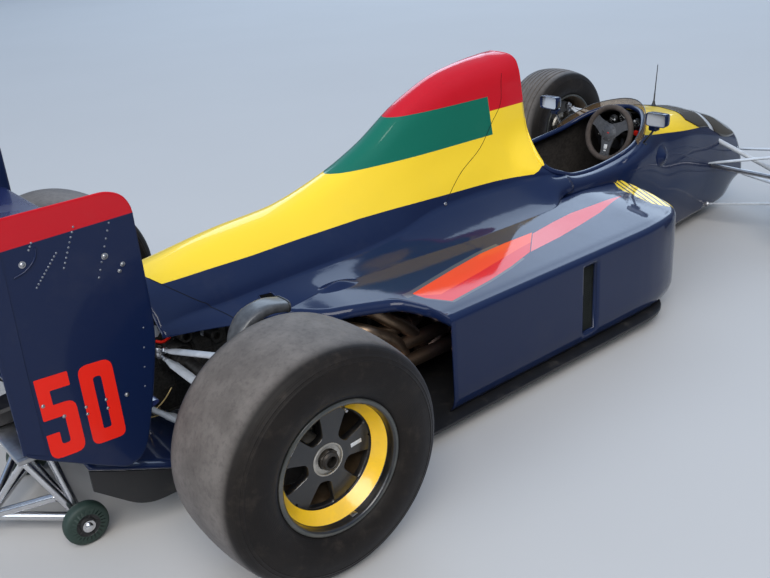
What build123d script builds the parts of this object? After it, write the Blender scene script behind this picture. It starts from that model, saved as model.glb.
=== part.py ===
from build123d import *
import math
import os

os.makedirs("parts", exist_ok=True)

# Open wheel racing car standing on its four tyres, with the lifting jack at its tail.
# +X forward, +Y left, +Z up, millimetres. Stations in the tables are measured from
# the rear axle, which lies at X = REAR_AXLE in the part's frame.
REAR_AXLE = -986.0
WHEELBASE = 2907.0
REAR_TRACK_HALF = 830.0
FRONT_TRACK_HALF = 881.0
REAR_TYRE_R = 330.0
FRONT_TYRE_R = 310.0
RIM_FLANGE_R = 182.4
RIM_SEAT_R = 165.0
REAR_RIM_HALF = 149.0
FRONT_RIM_HALF = 118.0
FLOOR_BOTTOM = 45.0
FLOOR_TOP = 57.0
FLOOR_HALF = 700.0
POD_HALF = 670.0
SKIN = 6.0
TUB_WALL = 20.0
RUNNING = 0.05
COVER_HALF = 300.0
COVER_EDGE_Z = 457.0
TUB_SIDE = 285.0


def side(y, x=0.0, z=0.0):
    # plane seen from the right side: local x forward, local y up, normal to the right
    return Plane(origin=(REAR_AXLE + x, y, z), x_dir=(1, 0, 0), z_dir=(0, -1, 0))


def plan(z, x=0.0, y=0.0):
    return Plane(origin=(REAR_AXLE + x, y, z), x_dir=(1, 0, 0), z_dir=(0, 0, 1))


def cross(x, y=0.0, z=0.0):
    # plane across the car: local x to the left, local y up
    return Plane(origin=(REAR_AXLE + x, y, z), x_dir=(0, 1, 0), z_dir=(1, 0, 0))


def spot(x, y, z):
    return Vector(REAR_AXLE + x, y, z)


def bar(p, q, r):
    # round bar between two stations, added to the current piece
    a, b = spot(*p), spot(*q)
    run = b - a
    with BuildSketch(Plane(origin=a, z_dir=run)) as s:
        Circle(r)
    extrude(s.sketch, amount=run.length)


def disc_y(x, y0, y1, z, r, mode=Mode.ADD):
    # cylinder along Y from y0 to y1
    with BuildSketch(Plane(origin=spot(x, y0, z), x_dir=(1, 0, 0), z_dir=(0, 1, 0))) as s:
        Circle(r)
    extrude(s.sketch, amount=y1 - y0, mode=mode)


def block(x0, x1, y0, y1, z0, z1, mode=Mode.ADD):
    with BuildSketch(plan(z0)) as s:
        with Locations(((x0 + x1) / 2, (y0 + y1) / 2)):
            Rectangle(x1 - x0, y1 - y0)
    extrude(s.sketch, amount=z1 - z0, mode=mode)


def slab(points, y0, y1, mode=Mode.ADD):
    # side-view outline (station, height) extruded from y0 to y1
    with BuildSketch(Plane(origin=spot(0, y1, 0), x_dir=(1, 0, 0), z_dir=(0, -1, 0))) as s:
        with BuildLine():
            Polyline(*points, close=True)
        make_face()
    extrude(s.sketch, amount=y1 - y0, mode=mode)


def sheet(points, z0, z1, mode=Mode.ADD):
    # plan outline (station, y) extruded from z0 to z1
    with BuildSketch(plan(z0)) as s:
        with BuildLine():
            Polyline(*points, close=True)
        make_face()
    extrude(s.sketch, amount=z1 - z0, mode=mode)


# ---------------------------------------------------------------- floor
FLOOR_PLAN = [
    (60, 450), (330, 470), (380, 600), (470, 690), (525, FLOOR_HALF), (1700, FLOOR_HALF),
    (1800, 645), (1880, 520), (1960, 290), (1990, 270),
]
with BuildPart() as underfloor:
    sheet(FLOOR_PLAN + [(x, -y) for x, y in reversed(FLOOR_PLAN)], FLOOR_BOTTOM, FLOOR_TOP)
underfloor.part.label = "underfloor"
export_step(underfloor.part, "parts/underfloor.step")

# tunnel roof rising to the tail, side plates and strakes hanging from it: (station, height)
DIFFUSER_HALF = 450.0
ROOF = [(60, 57), (-100, 125), (-217, 180), (-360, 245), (-440, 284)]
ROOF_T = 8.0
PLATE_FOOT = [(-440, 215), (-309, 98), (-60, 98), (60, 45)]
with BuildPart() as diffuser:
    slab(ROOF + [(x, z - ROOF_T) for x, z in reversed(ROOF)], -DIFFUSER_HALF, DIFFUSER_HALF)
    for y in (-DIFFUSER_HALF, -153, 147, DIFFUSER_HALF - 6):
        slab([(x, z - 4) for x, z in ROOF] + PLATE_FOOT, y, y + 6)
diffuser.part.label = "diffuser"
export_step(diffuser.part, "parts/diffuser.step")

# ---------------------------------------------------------------- tub
# station, bottom, half width there, waist height, half width there, shoulder height and half width,
# deck edge height and half width, deck height on the centre line
TUB = [
    (1560, 57, 280, 300, 285, 485, 285, 512, 262, 516),
    (2000, 57, 275, 300, 282, 475, 283, 503, 258, 512),
    (2240, 57, 250, 300, 262, 500, 252, 545, 215, 560),
    (2418, 57, 226, 300, 244, 530, 215, 590, 165, 618),
    (2500, 57, 215, 300, 236, 515, 215, 583, 160, 604),
    (2727, 57, 190, 290, 212, 478, 186, 545, 112, 566),
    (2860, 58, 178, 265, 202, 440, 170, 505, 98, 522),
    (2980, 60, 165, 240, 190, 400, 152, 464, 86, 480),
    (3120, 98, 132, 186, 173, 352, 128, 398, 68, 408),
]


def tub_ring(row, inset):
    x, zb, wb, zm, wm, zs, ws, ze, we, zc = row
    half = [(wb - 25 - inset / 2, zb + inset), (wb - inset, zb + 25 + inset / 2), (wm - inset, zm), (ws - inset, zs - inset / 2),
            (we - inset / 2, ze - inset), (20, zc - inset)]
    return half + [(-y, z) for y, z in reversed(half)]


# cockpit opening in plan: station, half width
COCKPIT = [
    (1600, 190), (1625, 225), (1700, 236), (1950, 234), (2060, 228), (2120, 222), (2180, 210), (2240, 192), (2300, 162),
    (2350, 125), (2390, 80), (2415, 30),
]
with BuildPart() as tub:
    for row in TUB:
        with BuildSketch(cross(row[0])) as s:
            with BuildLine():
                Polyline(*tub_ring(row, 0), close=True)
            make_face()
    loft(ruled=True)
with BuildPart() as tub_inside:
    rows = [(1580,) + TUB[0][1:]] + TUB[1:-1] + [(3100,) + TUB[-1][1:]]
    for row in rows:
        with BuildSketch(cross(row[0])) as s:
            with BuildLine():
                Polyline(*tub_ring(row, TUB_WALL), close=True)
            make_face()
    loft(ruled=True)
NOSE_HOLE_Z, NOSE_HOLE_Y, NOSE_HOLE_H, NOSE_HOLE_R = 245.0, 150.0, 110.0, 5.0
RACK_X, RACK_Z, RACK_R = 2797.0, 290.0, 11.0
with BuildPart() as tub_shell:
    add(tub.part)
    add(tub_inside.part, mode=Mode.SUBTRACT)
    sheet(COCKPIT + [(x, -y) for x, y in reversed(COCKPIT)], 400, 700, mode=Mode.SUBTRACT)
    disc_y(RACK_X, -400, 400, RACK_Z, RACK_R + 9, mode=Mode.SUBTRACT)
    with BuildSketch(cross(3080, 0, NOSE_HOLE_Z)):
        with GridLocations(NOSE_HOLE_Y, NOSE_HOLE_H, 2, 2):
            Circle(NOSE_HOLE_R)
    extrude(amount=80, mode=Mode.SUBTRACT)
tub_shell.part.label = "tub"
export_step(tub_shell.part, "parts/tub.step")

# ---------------------------------------------------------------- engine cover with air box
# station, edge height, top height, then half widths at the shares LEVELS of the height between them
LEVELS = (0.0, 0.10, 0.25, 0.45, 0.70, 0.88, 0.96, 1.0)
COVER = [
    (-80, 472, 590, 212, 205, 190, 168, 132, 88, 55, 20),
    (164, 446, 633, 252, 240, 212, 168, 122, 78, 48, 18),
    (469, 457, 661, 300, 262, 215, 165, 112, 72, 45, 16),
    (683, 457, 716, 300, 258, 200, 145, 100, 66, 42, 15),
    (868, 457, 795, 300, 250, 182, 128, 90, 62, 40, 14),
    (1064, 457, 912, 300, 240, 168, 118, 86, 62, 42, 14),
    (1264, 457, 983, 300, 238, 162, 114, 87, 68, 46, 15),
    (1473, 457, 1008, 300, 240, 162, 116, 93, 76, 54, 20),
    (1558, 457, 1011, 300, 242, 164, 118, 95, 80, 58, 24),
]
HOOP = [
    (1558, 528, 1011, 272, 212, 152, 114, 94, 80, 58, 24),
    (1720, 528, 1005, 268, 210, 150, 112, 92, 80, 58, 24),
]


def cover_ring(row, inset):
    za, zt = row[1] - (1 if inset else 0), row[2] - inset
    half = [(w - inset, za + f * (zt - za)) for f, w in zip(LEVELS, row[3:])]
    return half + [(-y, z) for y, z in reversed(half)]


def cover_loft(rows, inset, x0=None, x1=None):
    with BuildPart() as body:
        for k, row in enumerate(rows):
            x = row[0]
            if k == 0 and x0 is not None:
                x = x0
            if k == len(rows) - 1 and x1 is not None:
                x = x1
            with BuildSketch(cross(x)) as s:
                with BuildLine():
                    Polyline(*cover_ring(row, inset), close=True)
                make_face()
        loft(ruled=True)
    return body.part


# front edge of the air box seen from the side, and the bulkhead that closes it below the mouth
HOOP_FACE = [
    (1690, 528), (1646, 543), (1612, 561), (1597, 591), (1597, 633), (1606, 687), (1607, 750), (1604, 828), (1603, 885),
    (1598, 973), (1582, 997), (1545, 1012),
]
MOUTH_Z = 820.0
with BuildPart() as engine_cover:
    add(cover_loft(COVER, 0))
    add(cover_loft(HOOP, 0))
    slab([(1692, 520)] + HOOP_FACE + [(1545, 1100), (1900, 1100), (1900, 520)], -400, 400, mode=Mode.SUBTRACT)
with BuildPart() as cover_inside:
    add(cover_loft(COVER, SKIN, x0=-81))
    add(cover_loft(HOOP, SKIN, x0=1550))
    slab([(1600, 520), (1583, 600), (1588, 700), (1590, MOUTH_Z), (1900, MOUTH_Z), (1900, 520)], -400, 400, mode=Mode.SUBTRACT)
with BuildPart() as cover_shell:
    add(engine_cover.part)
    add(cover_inside.part, mode=Mode.SUBTRACT)
cover_shell.part.label = "engine_cover"
export_step(cover_shell.part, "parts/engine_cover.step")

# ---------------------------------------------------------------- side pods
POD_PLAN = [
    (300, -302), (324, -343), (388, -414), (444, -443), (535, -479), (591, -509), (640, -590), (660, -POD_HALF),
    (1650, -POD_HALF), (1790, -655), (1890, -622), (1950, -575), (1985, -430), (1998, -340), (2000, -287),
    (1560, -287), (1560, -302),
]
POD_SECTION = [(-287, 457), (-300, 457), (-625, 410), (-655, 398), (-POD_HALF, 370), (-POD_HALF, 95), (-645, 57), (-287, 57)]
POD_SECTION_IN = [(-280, 451), (-300, 451), (-622, 404), (-651, 393), (-664, 368), (-664, 96), (-643, 56), (-280, 56)]
SLOT_X0, SLOT_X1, SLOT_Z0, SLOT_Z1 = 1285.0, 1360.0, 108.0, 368.0


def pod(mirrored):
    with BuildPart() as section:
        with BuildSketch(cross(200)) as s:
            with BuildLine():
                Polyline(*POD_SECTION, close=True)
            make_face()
        extrude(amount=1900)
    with BuildPart() as outline:
        sheet(POD_PLAN, 50, 500)
    with BuildPart() as section_in:
        with BuildSketch(cross(200)) as s:
            with BuildLine():
                Polyline(*POD_SECTION_IN, close=True)
            make_face()
        extrude(amount=1900)
    with BuildPart() as outline_in:
        with BuildSketch(plan(40)) as s:
            with BuildLine():
                Polyline(*POD_PLAN, close=True)
            make_face()
            offset(amount=-SKIN)
            with Locations((1230, -300)):
                Rectangle(1860, 40)
            with Locations((1970, -433)):
                Rectangle(80, 260)
        extrude(amount=480)
    with BuildPart() as hollow:
        add(section_in.part)
        add(outline_in.part, mode=Mode.INTERSECT)
    with BuildPart() as shell:
        add(section.part)
        add(outline.part, mode=Mode.INTERSECT)
        add(hollow.part, mode=Mode.SUBTRACT)
        block(200, 655, -720, -250, 40, 402, mode=Mode.SUBTRACT)
        block(600, 668, -663.9, -520, 58, 385, mode=Mode.SUBTRACT)
        block(SLOT_X0, SLOT_X1, -720, -640, SLOT_Z0, SLOT_Z1, mode=Mode.SUBTRACT)
    if mirrored:
        return mirror(shell.part, about=Plane.XZ)
    return shell.part


with BuildPart() as sidepod_right:
    add(pod(False))
sidepod_right.part.label = "sidepod_right"
export_step(sidepod_right.part, "parts/sidepod_right.step")
with BuildPart() as sidepod_left:
    add(pod(True))
sidepod_left.part.label = "sidepod_left"
export_step(sidepod_left.part, "parts/sidepod_left.step")

RADIATOR = [(1235, 300), (1290, 300), (1400, 635), (1345, 635)]
with BuildPart() as radiators:
    sheet(RADIATOR, 70, 385)
    sheet([(x, -y) for x, y in RADIATOR], 70, 385)
radiators.part.label = "radiators"
export_step(radiators.part, "parts/radiators.step")

# ---------------------------------------------------------------- engine, gearbox, exhausts
with BuildPart() as engine_block:
    block(700, 1560, -190, 190, 75, 440)
    block(740, 1520, -140, 140, 440, 555)
    block(760, 1400, -35, 35, 555, 640)
engine_block.part.label = "engine_block"
export_step(engine_block.part, "parts/engine_block.step")

with BuildPart() as gearbox:
    slab([(700, 80), (700, 380), (420, 400), (-120, 400), (-330, 345), (-330, 275), (-100, 165), (60, 105), (300, 90)], -110, 110)
    slab([(-300, 292), (-446, 292), (-446, 279.5), (-560, 279.5), (-560, 330), (-300, 342)], -60, 60)
gearbox.part.label = "gearbox"
export_step(gearbox.part, "parts/gearbox.step")

PIPES = [(300, 760, 430), (245, 900, 455), (190, 1040, 480)]  # height, station at the head, reach
with BuildPart() as exhausts:
    for sign in (-1, 1):
        for z, x, reach in PIPES:
            with BuildLine(plan(z)) as path:
                FilletPolyline((x, sign * 190), (x, sign * reach), (520, sign * reach), (360, sign * 240), radius=80)
            with BuildSketch(Plane(origin=spot(x, sign * 190, z), z_dir=(0, sign, 0))) as s:
                Circle(24)
            sweep(s.sketch, path=path.wires()[0])
exhausts.part.label = "exhausts"
export_step(exhausts.part, "parts/exhausts.step")

# ---------------------------------------------------------------- rear wing
ENDPLATE = [
    (-594, 1012), (-262, 1012), (-225, 995), (-206, 960), (-204, 660), (-211, 587), (-245, 443), (-281, 326),
    (-304, 283), (-348, 270), (-378, 286), (-559, 394), (-594, 420),
]
END_Y, END_T = 493.0, 6.0
with BuildPart() as wing_endplates:
    slab(ENDPLATE, -END_Y, -END_Y + END_T)
    slab(ENDPLATE, END_Y - END_T, END_Y)
wing_endplates.part.label = "wing_endplates"
export_step(wing_endplates.part, "parts/wing_endplates.step")
# front x, front z, rear x, rear z, thickness
SPAN = END_Y - END_T


def foil(x0, z0, x1, z1, t, camber):
    # wing section between a rounded front edge and a thin rear edge, cambered downward
    mx, mz = x0 + 0.45 * (x1 - x0), z0 + 0.45 * (z1 - z0)
    lx, lz = (x1 - x0), (z1 - z0)
    n = math.hypot(lx, lz)
    nx, nz = -lz / n, lx / n
    if nz < 0:
        nx, nz = -nx, -nz
    up = (mx + nx * (t * 0.5 - camber), mz + nz * (t * 0.5 - camber))
    dn = (mx - nx * (t * 0.5 + camber), mz - nz * (t * 0.5 + camber))
    return (x0, z0), up, (x1, z1), dn


def wing(x0, z0, x1, z1, t, camber):
    a, up, b, dn = foil(x0, z0, x1, z1, t, camber)
    with BuildSketch(Plane(origin=spot(0, SPAN, 0), x_dir=(1, 0, 0), z_dir=(0, -1, 0))) as s:
        with BuildLine():
            ThreePointArc(a, up, b)
            ThreePointArc(b, dn, a)
        make_face()
    extrude(s.sketch, amount=2 * SPAN)


with BuildPart() as wing_main_plane:
    wing(-222, 812, -425, 852, 26, 18)
wing_main_plane.part.label = "wing_main_plane"
export_step(wing_main_plane.part, "parts/wing_main_plane.step")
with BuildPart() as wing_flaps:
    wing(-405, 868, -500, 932, 16, 10)
    wing(-488, 948, -570, 1000, 12, 9)
wing_flaps.part.label = "wing_flaps"
export_step(wing_flaps.part, "parts/wing_flaps.step")
with BuildPart() as lower_wing:
    wing(-230, 420, -440, 450, 24, 16)
lower_wing.part.label = "lower_wing"
export_step(lower_wing.part, "parts/lower_wing.step")
with BuildPart() as wing_pillar:
    for y in (-55, 45):
        slab([(-300, 340), (-480, 340), (-470, 380), (-420, 446), (-250, 430)], y, y + 10)
wing_pillar.part.label = "wing_pillar"
export_step(wing_pillar.part, "parts/wing_pillar.step")

# ---------------------------------------------------------------- rear suspension
REAR_UP = (45, 655, 488)
REAR_LOW = (0, 655, 205)
ARM_R = 11.0
# inner end, outer end
REAR_ARMS = [
    ((-61.5, 112, 372.2), REAR_UP), ((300, 112, 330), REAR_UP),
    ((-100, 112, 170), REAR_LOW), ((300, 112, 170), REAR_LOW),
    ((-62.4, 112, 363.7), (10, 652, 252)), ((-130, 112, 200), (-75, 650, 250)),
]
with BuildPart() as rear_wishbones:
    for sign in (-1, 1):
        for p, q in REAR_ARMS:
            bar((p[0], sign * p[1], p[2]), (q[0], sign * q[1], q[2]), ARM_R)
rear_wishbones.part.label = "rear_wishbones"
export_step(rear_wishbones.part, "parts/rear_wishbones.step")
HUB_R = 35.0
UPRIGHT_IN, UPRIGHT_OUT = 640.0, 730.0
with BuildPart() as rear_uprights:
    for sign in (-1, 1):
        y0, y1 = sorted((sign * UPRIGHT_IN, sign * UPRIGHT_OUT))
        block(-55, 55, y0, y1, 255, 405)
        y2, y3 = sorted((sign * 640, sign * 672))
        block(-30, 30, y2, y3, 190, 495)
        block(-10, 66, y2, y3, 400, 500)
        disc_y(0, y0 - 5, y1 + 5, REAR_TYRE_R, HUB_R + RUNNING, mode=Mode.SUBTRACT)
        block(-90, -55, sorted((sign * 645, sign * 670))[0], sorted((sign * 645, sign * 670))[1], 235, 300)
rear_uprights.part.label = "rear_uprights"
export_step(rear_uprights.part, "parts/rear_uprights.step")
with BuildPart() as brake_ducts:
    for sign in (-1, 1):
        y0, y1 = sorted((sign * 560, sign * 635))
        slab([(-70, 560), (-20, 620), (60, 640), (125, 630), (120, 600), (60, 612), (-5, 592), (-40, 545)], y0, y1)
        y0, y1 = sorted((sign * 600, sign * 635))
        slab([(-40, 545), (-5, 592), (54, 470), (16, 470)], y0, y1)
brake_ducts.part.label = "brake_ducts"
export_step(brake_ducts.part, "parts/brake_ducts.step")

# ---------------------------------------------------------------- front suspension
KING_Y = 770.0
KING_TOP_Z, KING_LOW_Z = 430.0, 190.0
PIN_R = 10.0
PICK_FRONT_UP = (3105, 128, 290)
PICK_REAR_UP = (2759, 170, 300)
PICK_FRONT_LOW = (3105, 145, 178)
PICK_REAR_LOW = (2783, 178, 95)
with BuildPart() as front_wishbones:
    for sign in (-1, 1):
        for p, z in ((PICK_FRONT_UP, KING_TOP_Z), (PICK_REAR_UP, KING_TOP_Z), (PICK_FRONT_LOW, KING_LOW_Z), (PICK_REAR_LOW, KING_LOW_Z)):
            bar((p[0], sign * p[1], p[2]), (WHEELBASE, sign * KING_Y, z), ARM_R)
        bar((2885, sign * 140, 400), (WHEELBASE, sign * (KING_Y - 58), KING_LOW_Z + 12), ARM_R)
        # ball joint housings and their pins, which enter the upright from above and from below
        bar((WHEELBASE, sign * KING_Y, KING_TOP_Z - 14), (WHEELBASE, sign * KING_Y, KING_TOP_Z + 14), 18)
        bar((WHEELBASE, sign * KING_Y, KING_LOW_Z - 14), (WHEELBASE, sign * KING_Y, KING_LOW_Z + 14), 18)
        bar((WHEELBASE, sign * KING_Y, KING_TOP_Z - 60), (WHEELBASE, sign * KING_Y, KING_TOP_Z), PIN_R)
        bar((WHEELBASE, sign * KING_Y, KING_LOW_Z), (WHEELBASE, sign * KING_Y, KING_LOW_Z + 60), PIN_R)
front_wishbones.part.label = "front_wishbones"
export_step(front_wishbones.part, "parts/front_wishbones.step")

ARM_REACH = 110.0
F_HUB_R = 30.0


def knuckle(sign):
    with BuildPart() as body:
        y0, y1 = sorted((sign * (KING_Y - 20), sign * (KING_Y + 20)))
        block(WHEELBASE - 22, WHEELBASE + 22, y0, y1, KING_LOW_Z + 30, KING_TOP_Z - 30)
        y0, y1 = sorted((sign * (KING_Y - 20), sign * (KING_Y + 45)))
        disc_y(WHEELBASE, y0, y1, FRONT_TYRE_R, 52)
        # steering arm reaching back to the track rod, with its pin standing up
        block(WHEELBASE - ARM_REACH - 14, WHEELBASE, sorted((sign * (KING_Y - 12), sign * (KING_Y + 12)))[0],
              sorted((sign * (KING_Y - 12), sign * (KING_Y + 12)))[1], RACK_Z - 24, RACK_Z - 14)
        bar((WHEELBASE - ARM_REACH, sign * KING_Y, RACK_Z - 14), (WHEELBASE - ARM_REACH, sign * KING_Y, RACK_Z + 14), 6)
        disc_y(WHEELBASE, y0 - 5, y1 + 5, FRONT_TYRE_R, F_HUB_R + RUNNING, mode=Mode.SUBTRACT)
        for z0, z1 in ((KING_TOP_Z - 66, KING_TOP_Z), (KING_LOW_Z, KING_LOW_Z + 66)):
            with BuildSketch(plan(z0, WHEELBASE, sign * KING_Y)) as s:
                Circle(PIN_R + RUNNING)
            extrude(s.sketch, amount=z1 - z0, mode=Mode.SUBTRACT)
    return body.part


with BuildPart() as knuckle_right:
    add(knuckle(-1))
knuckle_right.part.label = "knuckle_right"
export_step(knuckle_right.part, "parts/knuckle_right.step")
with BuildPart() as knuckle_left:
    add(knuckle(1))
knuckle_left.part.label = "knuckle_left"
export_step(knuckle_left.part, "parts/knuckle_left.step")

EYE_R = 15.0
with BuildPart() as steering_rack:
    disc_y(RACK_X, -(KING_Y - 22), KING_Y - 22, RACK_Z, RACK_R)
    for sign in (-1, 1):
        with BuildSketch(plan(RACK_Z - 6, RACK_X, sign * KING_Y)) as s:
            Circle(EYE_R + 9)
        extrude(s.sketch, amount=12)
        with BuildSketch(plan(RACK_Z - 20, RACK_X, sign * KING_Y)) as s:
            Circle(EYE_R)
        extrude(s.sketch, amount=40, mode=Mode.SUBTRACT)
steering_rack.part.label = "steering_rack"
export_step(steering_rack.part, "parts/steering_rack.step")

# ---------------------------------------------------------------- wheels
# offset from the tyre's centre plane, radius: outer skin from bead to crown
REAR_TYRE = [(140, 166), (140, 184), (158, 205), (165, 240), (158, 280), (146, 304), (130, 318), (90, 325), (0, 330)]
REAR_TYRE_IN = [(0, 319), (88, 314), (124, 307), (137, 296), (148, 276), (155, 240), (149, 209), (128, 184), (128, 166)]
FRONT_TYRE = [(109, 166), (109, 184), (126, 204), (132, 232), (126, 265), (114, 287), (96, 299), (60, 306), (0, 310)]
FRONT_TYRE_IN = [(0, 299), (58, 295), (90, 289), (105, 280), (116, 261), (122, 232), (117, 208), (98, 184), (98, 166)]


def tyre(x, y, z, outer, inner):
    ring = [(s, r) for s, r in outer] + [(-s, r) for s, r in reversed(outer[:-1])]
    inside = [(-s, r) for s, r in reversed(inner)] + [(s, r) for s, r in inner[1:]]
    with BuildPart() as body:
        with BuildSketch(Plane(origin=spot(x, y, z), x_dir=(0, 1, 0), z_dir=(1, 0, 0))) as s:
            with BuildLine():
                Polyline(*(ring + inside), close=True)
            make_face()
        revolve(axis=Axis(tuple(spot(x, y, z)), (0, 1, 0)))
    return body.part


def rim(x, y, z, half_w, out, hub_r, disc_s, spokes):
    # out is +1 when the outboard side is +Y
    seat, well = RIM_SEAT_R + 0.5, 158.0
    # section through the barrel on the side away from the axle: offset, radius
    ring = [
        (-half_w + 55, well - 8), (-half_w, well + 5), (-half_w, RIM_FLANGE_R), (-half_w + 7, RIM_FLANGE_R), (-half_w + 7, seat), (half_w - 7, seat),
        (half_w - 7, RIM_FLANGE_R), (half_w, RIM_FLANGE_R), (half_w, well + 5), (half_w - 55, well - 8),
    ]
    with BuildPart() as body:
        with BuildSketch(Plane(origin=spot(x, y, z), x_dir=(0, 1, 0), z_dir=(1, 0, 0))) as s:
            with BuildLine():
                Polyline(*ring, close=True)
            make_face()
        revolve(axis=Axis(tuple(spot(x, y, z)), (0, 1, 0)))
        y0 = y + out * disc_s
        with BuildSketch(Plane(origin=spot(x, y0, z), x_dir=(1, 0, 0), z_dir=(0, out, 0))) as s:
            Circle(well)
            with PolarLocations(0, spokes):
                with BuildLine():
                    Polyline((62, 16), (62, -16), (138, -48), (146, 0), (138, 48), close=True)
                make_face(mode=Mode.SUBTRACT)
            Circle(hub_r, mode=Mode.SUBTRACT)
        extrude(s.sketch, amount=16)
    return body.part


def hub(x, z, inner, disc_y0, disc_t, face, nut, shaft_r, side_sign, disc_r, core_r):
    # one spinning piece: shaft through the upright, brake disc, wheel hub and centre nut
    with BuildPart() as body:
        def run(a, b, r):
            lo, hi = sorted((side_sign * a, side_sign * b))
            disc_y(x, lo, hi, z, r)
        run(inner, face, core_r)
        run(disc_y0, disc_y0 + disc_t, disc_r)
        run(face - 16, nut, 27)
        run(face, face + 8, 45)
        if shaft_r:
            run(150, inner, shaft_r)
            run(150, 195, 42)
            run(inner - 50, inner - 6, 42)
    return body.part


WHEELS = [
    # name, station, half track sign, tyre centre, height, rear?
    ("rear_right", 0.0, -1, REAR_TRACK_HALF, REAR_TYRE_R, True),
    ("rear_left", 0.0, 1, REAR_TRACK_HALF, REAR_TYRE_R, True),
    ("front_right", WHEELBASE, -1, FRONT_TRACK_HALF, FRONT_TYRE_R, False),
    ("front_left", WHEELBASE, 1, FRONT_TRACK_HALF, FRONT_TYRE_R, False),
]
for name, x, sg, yc, z, rear in WHEELS:
    with BuildPart() as wheel_tyre:
        add(tyre(x, sg * yc, z, REAR_TYRE if rear else FRONT_TYRE, REAR_TYRE_IN if rear else FRONT_TYRE_IN))
    wheel_tyre.part.label = "tyre_" + name
    export_step(wheel_tyre.part, "parts/tyre_" + name + ".step")
    with BuildPart() as wheel_rim:
        add(rim(x, sg * yc, z, REAR_RIM_HALF if rear else FRONT_RIM_HALF, sg, HUB_R if rear else F_HUB_R, 64.0 if rear else 50.0, 5))
    wheel_rim.part.label = "rim_" + name
    export_step(wheel_rim.part, "parts/rim_" + name + ".step")
    with BuildPart() as wheel_hub:
        if rear:
            add(hub(x, z, 632.0, 740.0, 28.0, yc + 80.0, yc + 107.0, 20.0, sg, 140.0, HUB_R))
        else:
            add(hub(x, z, 745.0, 825.0, 26.0, yc + 66.0, yc + 92.0, 0.0, sg, 138.0, F_HUB_R))
    wheel_hub.part.label = "hub_" + name
    export_step(wheel_hub.part, "parts/hub_" + name + ".step")

# ---------------------------------------------------------------- cockpit
COLUMN_TILT = 18.0  # degrees, top of the steering wheel leaning forward
WHEEL_AT = (2273.0, 0.0, 530.0)
STEER_R = 128.0
ct, st = math.cos(math.radians(COLUMN_TILT)), math.sin(math.radians(COLUMN_TILT))
column_axis = Vector(ct, 0, -st)  # forward and down
wheel_plane = Plane(origin=spot(*WHEEL_AT), x_dir=(0, 1, 0), z_dir=column_axis)
with BuildPart() as steering_wheel:
    with BuildSketch(Plane(origin=spot(*WHEEL_AT) + Vector(0, STEER_R - 13, 0), x_dir=(0, 1, 0), z_dir=wheel_plane.y_dir)) as s:
        Circle(13)
    revolve(s.sketch, axis=Axis(tuple(spot(*WHEEL_AT)), tuple(column_axis)))
    with BuildSketch(wheel_plane.offset(-4)) as s:
        Circle(38)
        with PolarLocations(0, 3, start_angle=30):
            with Locations((60, 0)):
                Rectangle(112, 26)
    extrude(s.sketch, amount=8)
    with BuildSketch(wheel_plane) as s:
        Circle(24)
    extrude(s.sketch, amount=40)
    with BuildSketch(wheel_plane) as s:
        Circle(10)
    extrude(s.sketch, amount=150)
steering_wheel.part.label = "steering_wheel"
export_step(steering_wheel.part, "parts/steering_wheel.step")
with BuildPart() as steering_column:
    with BuildSketch(wheel_plane.offset(46)) as s:
        Circle(17)
    extrude(s.sketch, amount=240)
    with BuildSketch(wheel_plane.offset(40)) as s:
        Circle(10 + RUNNING)
    extrude(s.sketch, amount=116, mode=Mode.SUBTRACT)
steering_column.part.label = "steering_column"
export_step(steering_column.part, "parts/steering_column.step")
with BuildPart() as dash_panel:
    with BuildSketch(cross(2400)) as s:
        with BuildLine():
            Polyline((-150, 420), (150, 420), (185, 500), (120, 548), (-120, 548), (-185, 500), close=True)
        make_face()
        with Locations((0, 490)):
            Circle(60, mode=Mode.SUBTRACT)
    extrude(s.sketch, amount=6)
dash_panel.part.label = "dash_panel"
export_step(dash_panel.part, "parts/dash_panel.step")
with BuildPart() as seat:
    slab([(1640, 330), (1690, 120), (1760, 85), (2150, 85), (2150, 100), (1775, 100), (1708, 130), (1660, 330)], -200, 200)
    for y in (-212, 200):
        slab([(1640, 400), (1690, 95), (2150, 85), (2150, 200), (1800, 300)], y, y + 12)
seat.part.label = "seat"
export_step(seat.part, "parts/seat.step")
SCREEN = [(2180, 225), (2245, 208), (2312, 174), (2364, 134), (2405, 86), (2432, 32)]  # plan of its outer face
with BuildPart() as windscreen:
    with BuildSketch(plan(545)) as s:
        with BuildLine():
            Polyline(*(SCREEN + [(x, -y) for x, y in reversed(SCREEN)] + [(x - 2, 3 - y) for x, y in SCREEN]
                       + [(x - 2, y - 3) for x, y in reversed(SCREEN)]), close=True)
        make_face()
    extrude(s.sketch, amount=80)
    slab([(2100, 540), (2180, 556), (2250, 588), (2350, 632), (2440, 658), (2600, 658), (2600, 700), (2100, 700)], -400, 400, mode=Mode.SUBTRACT)
    add(tub.part, mode=Mode.SUBTRACT)
windscreen.part.label = "windscreen"
export_step(windscreen.part, "parts/windscreen.step")
with BuildPart() as mirrors:
    for sign in (-1, 1):
        y0, y1 = sorted((sign * 245, sign * 345))
        block(2195, 2255, y0, y1, 615, 675)
        bar((2230, sign * 262, 530), (2228, sign * 290, 620), 7)
mirrors.part.label = "mirrors"
export_step(mirrors.part, "parts/mirrors.step")
with BuildPart() as antenna:
    bar((2600.5, 0, 593), (2619, 0, 779), 4)
antenna.part.label = "antenna"
export_step(antenna.part, "parts/antenna.step")

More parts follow.
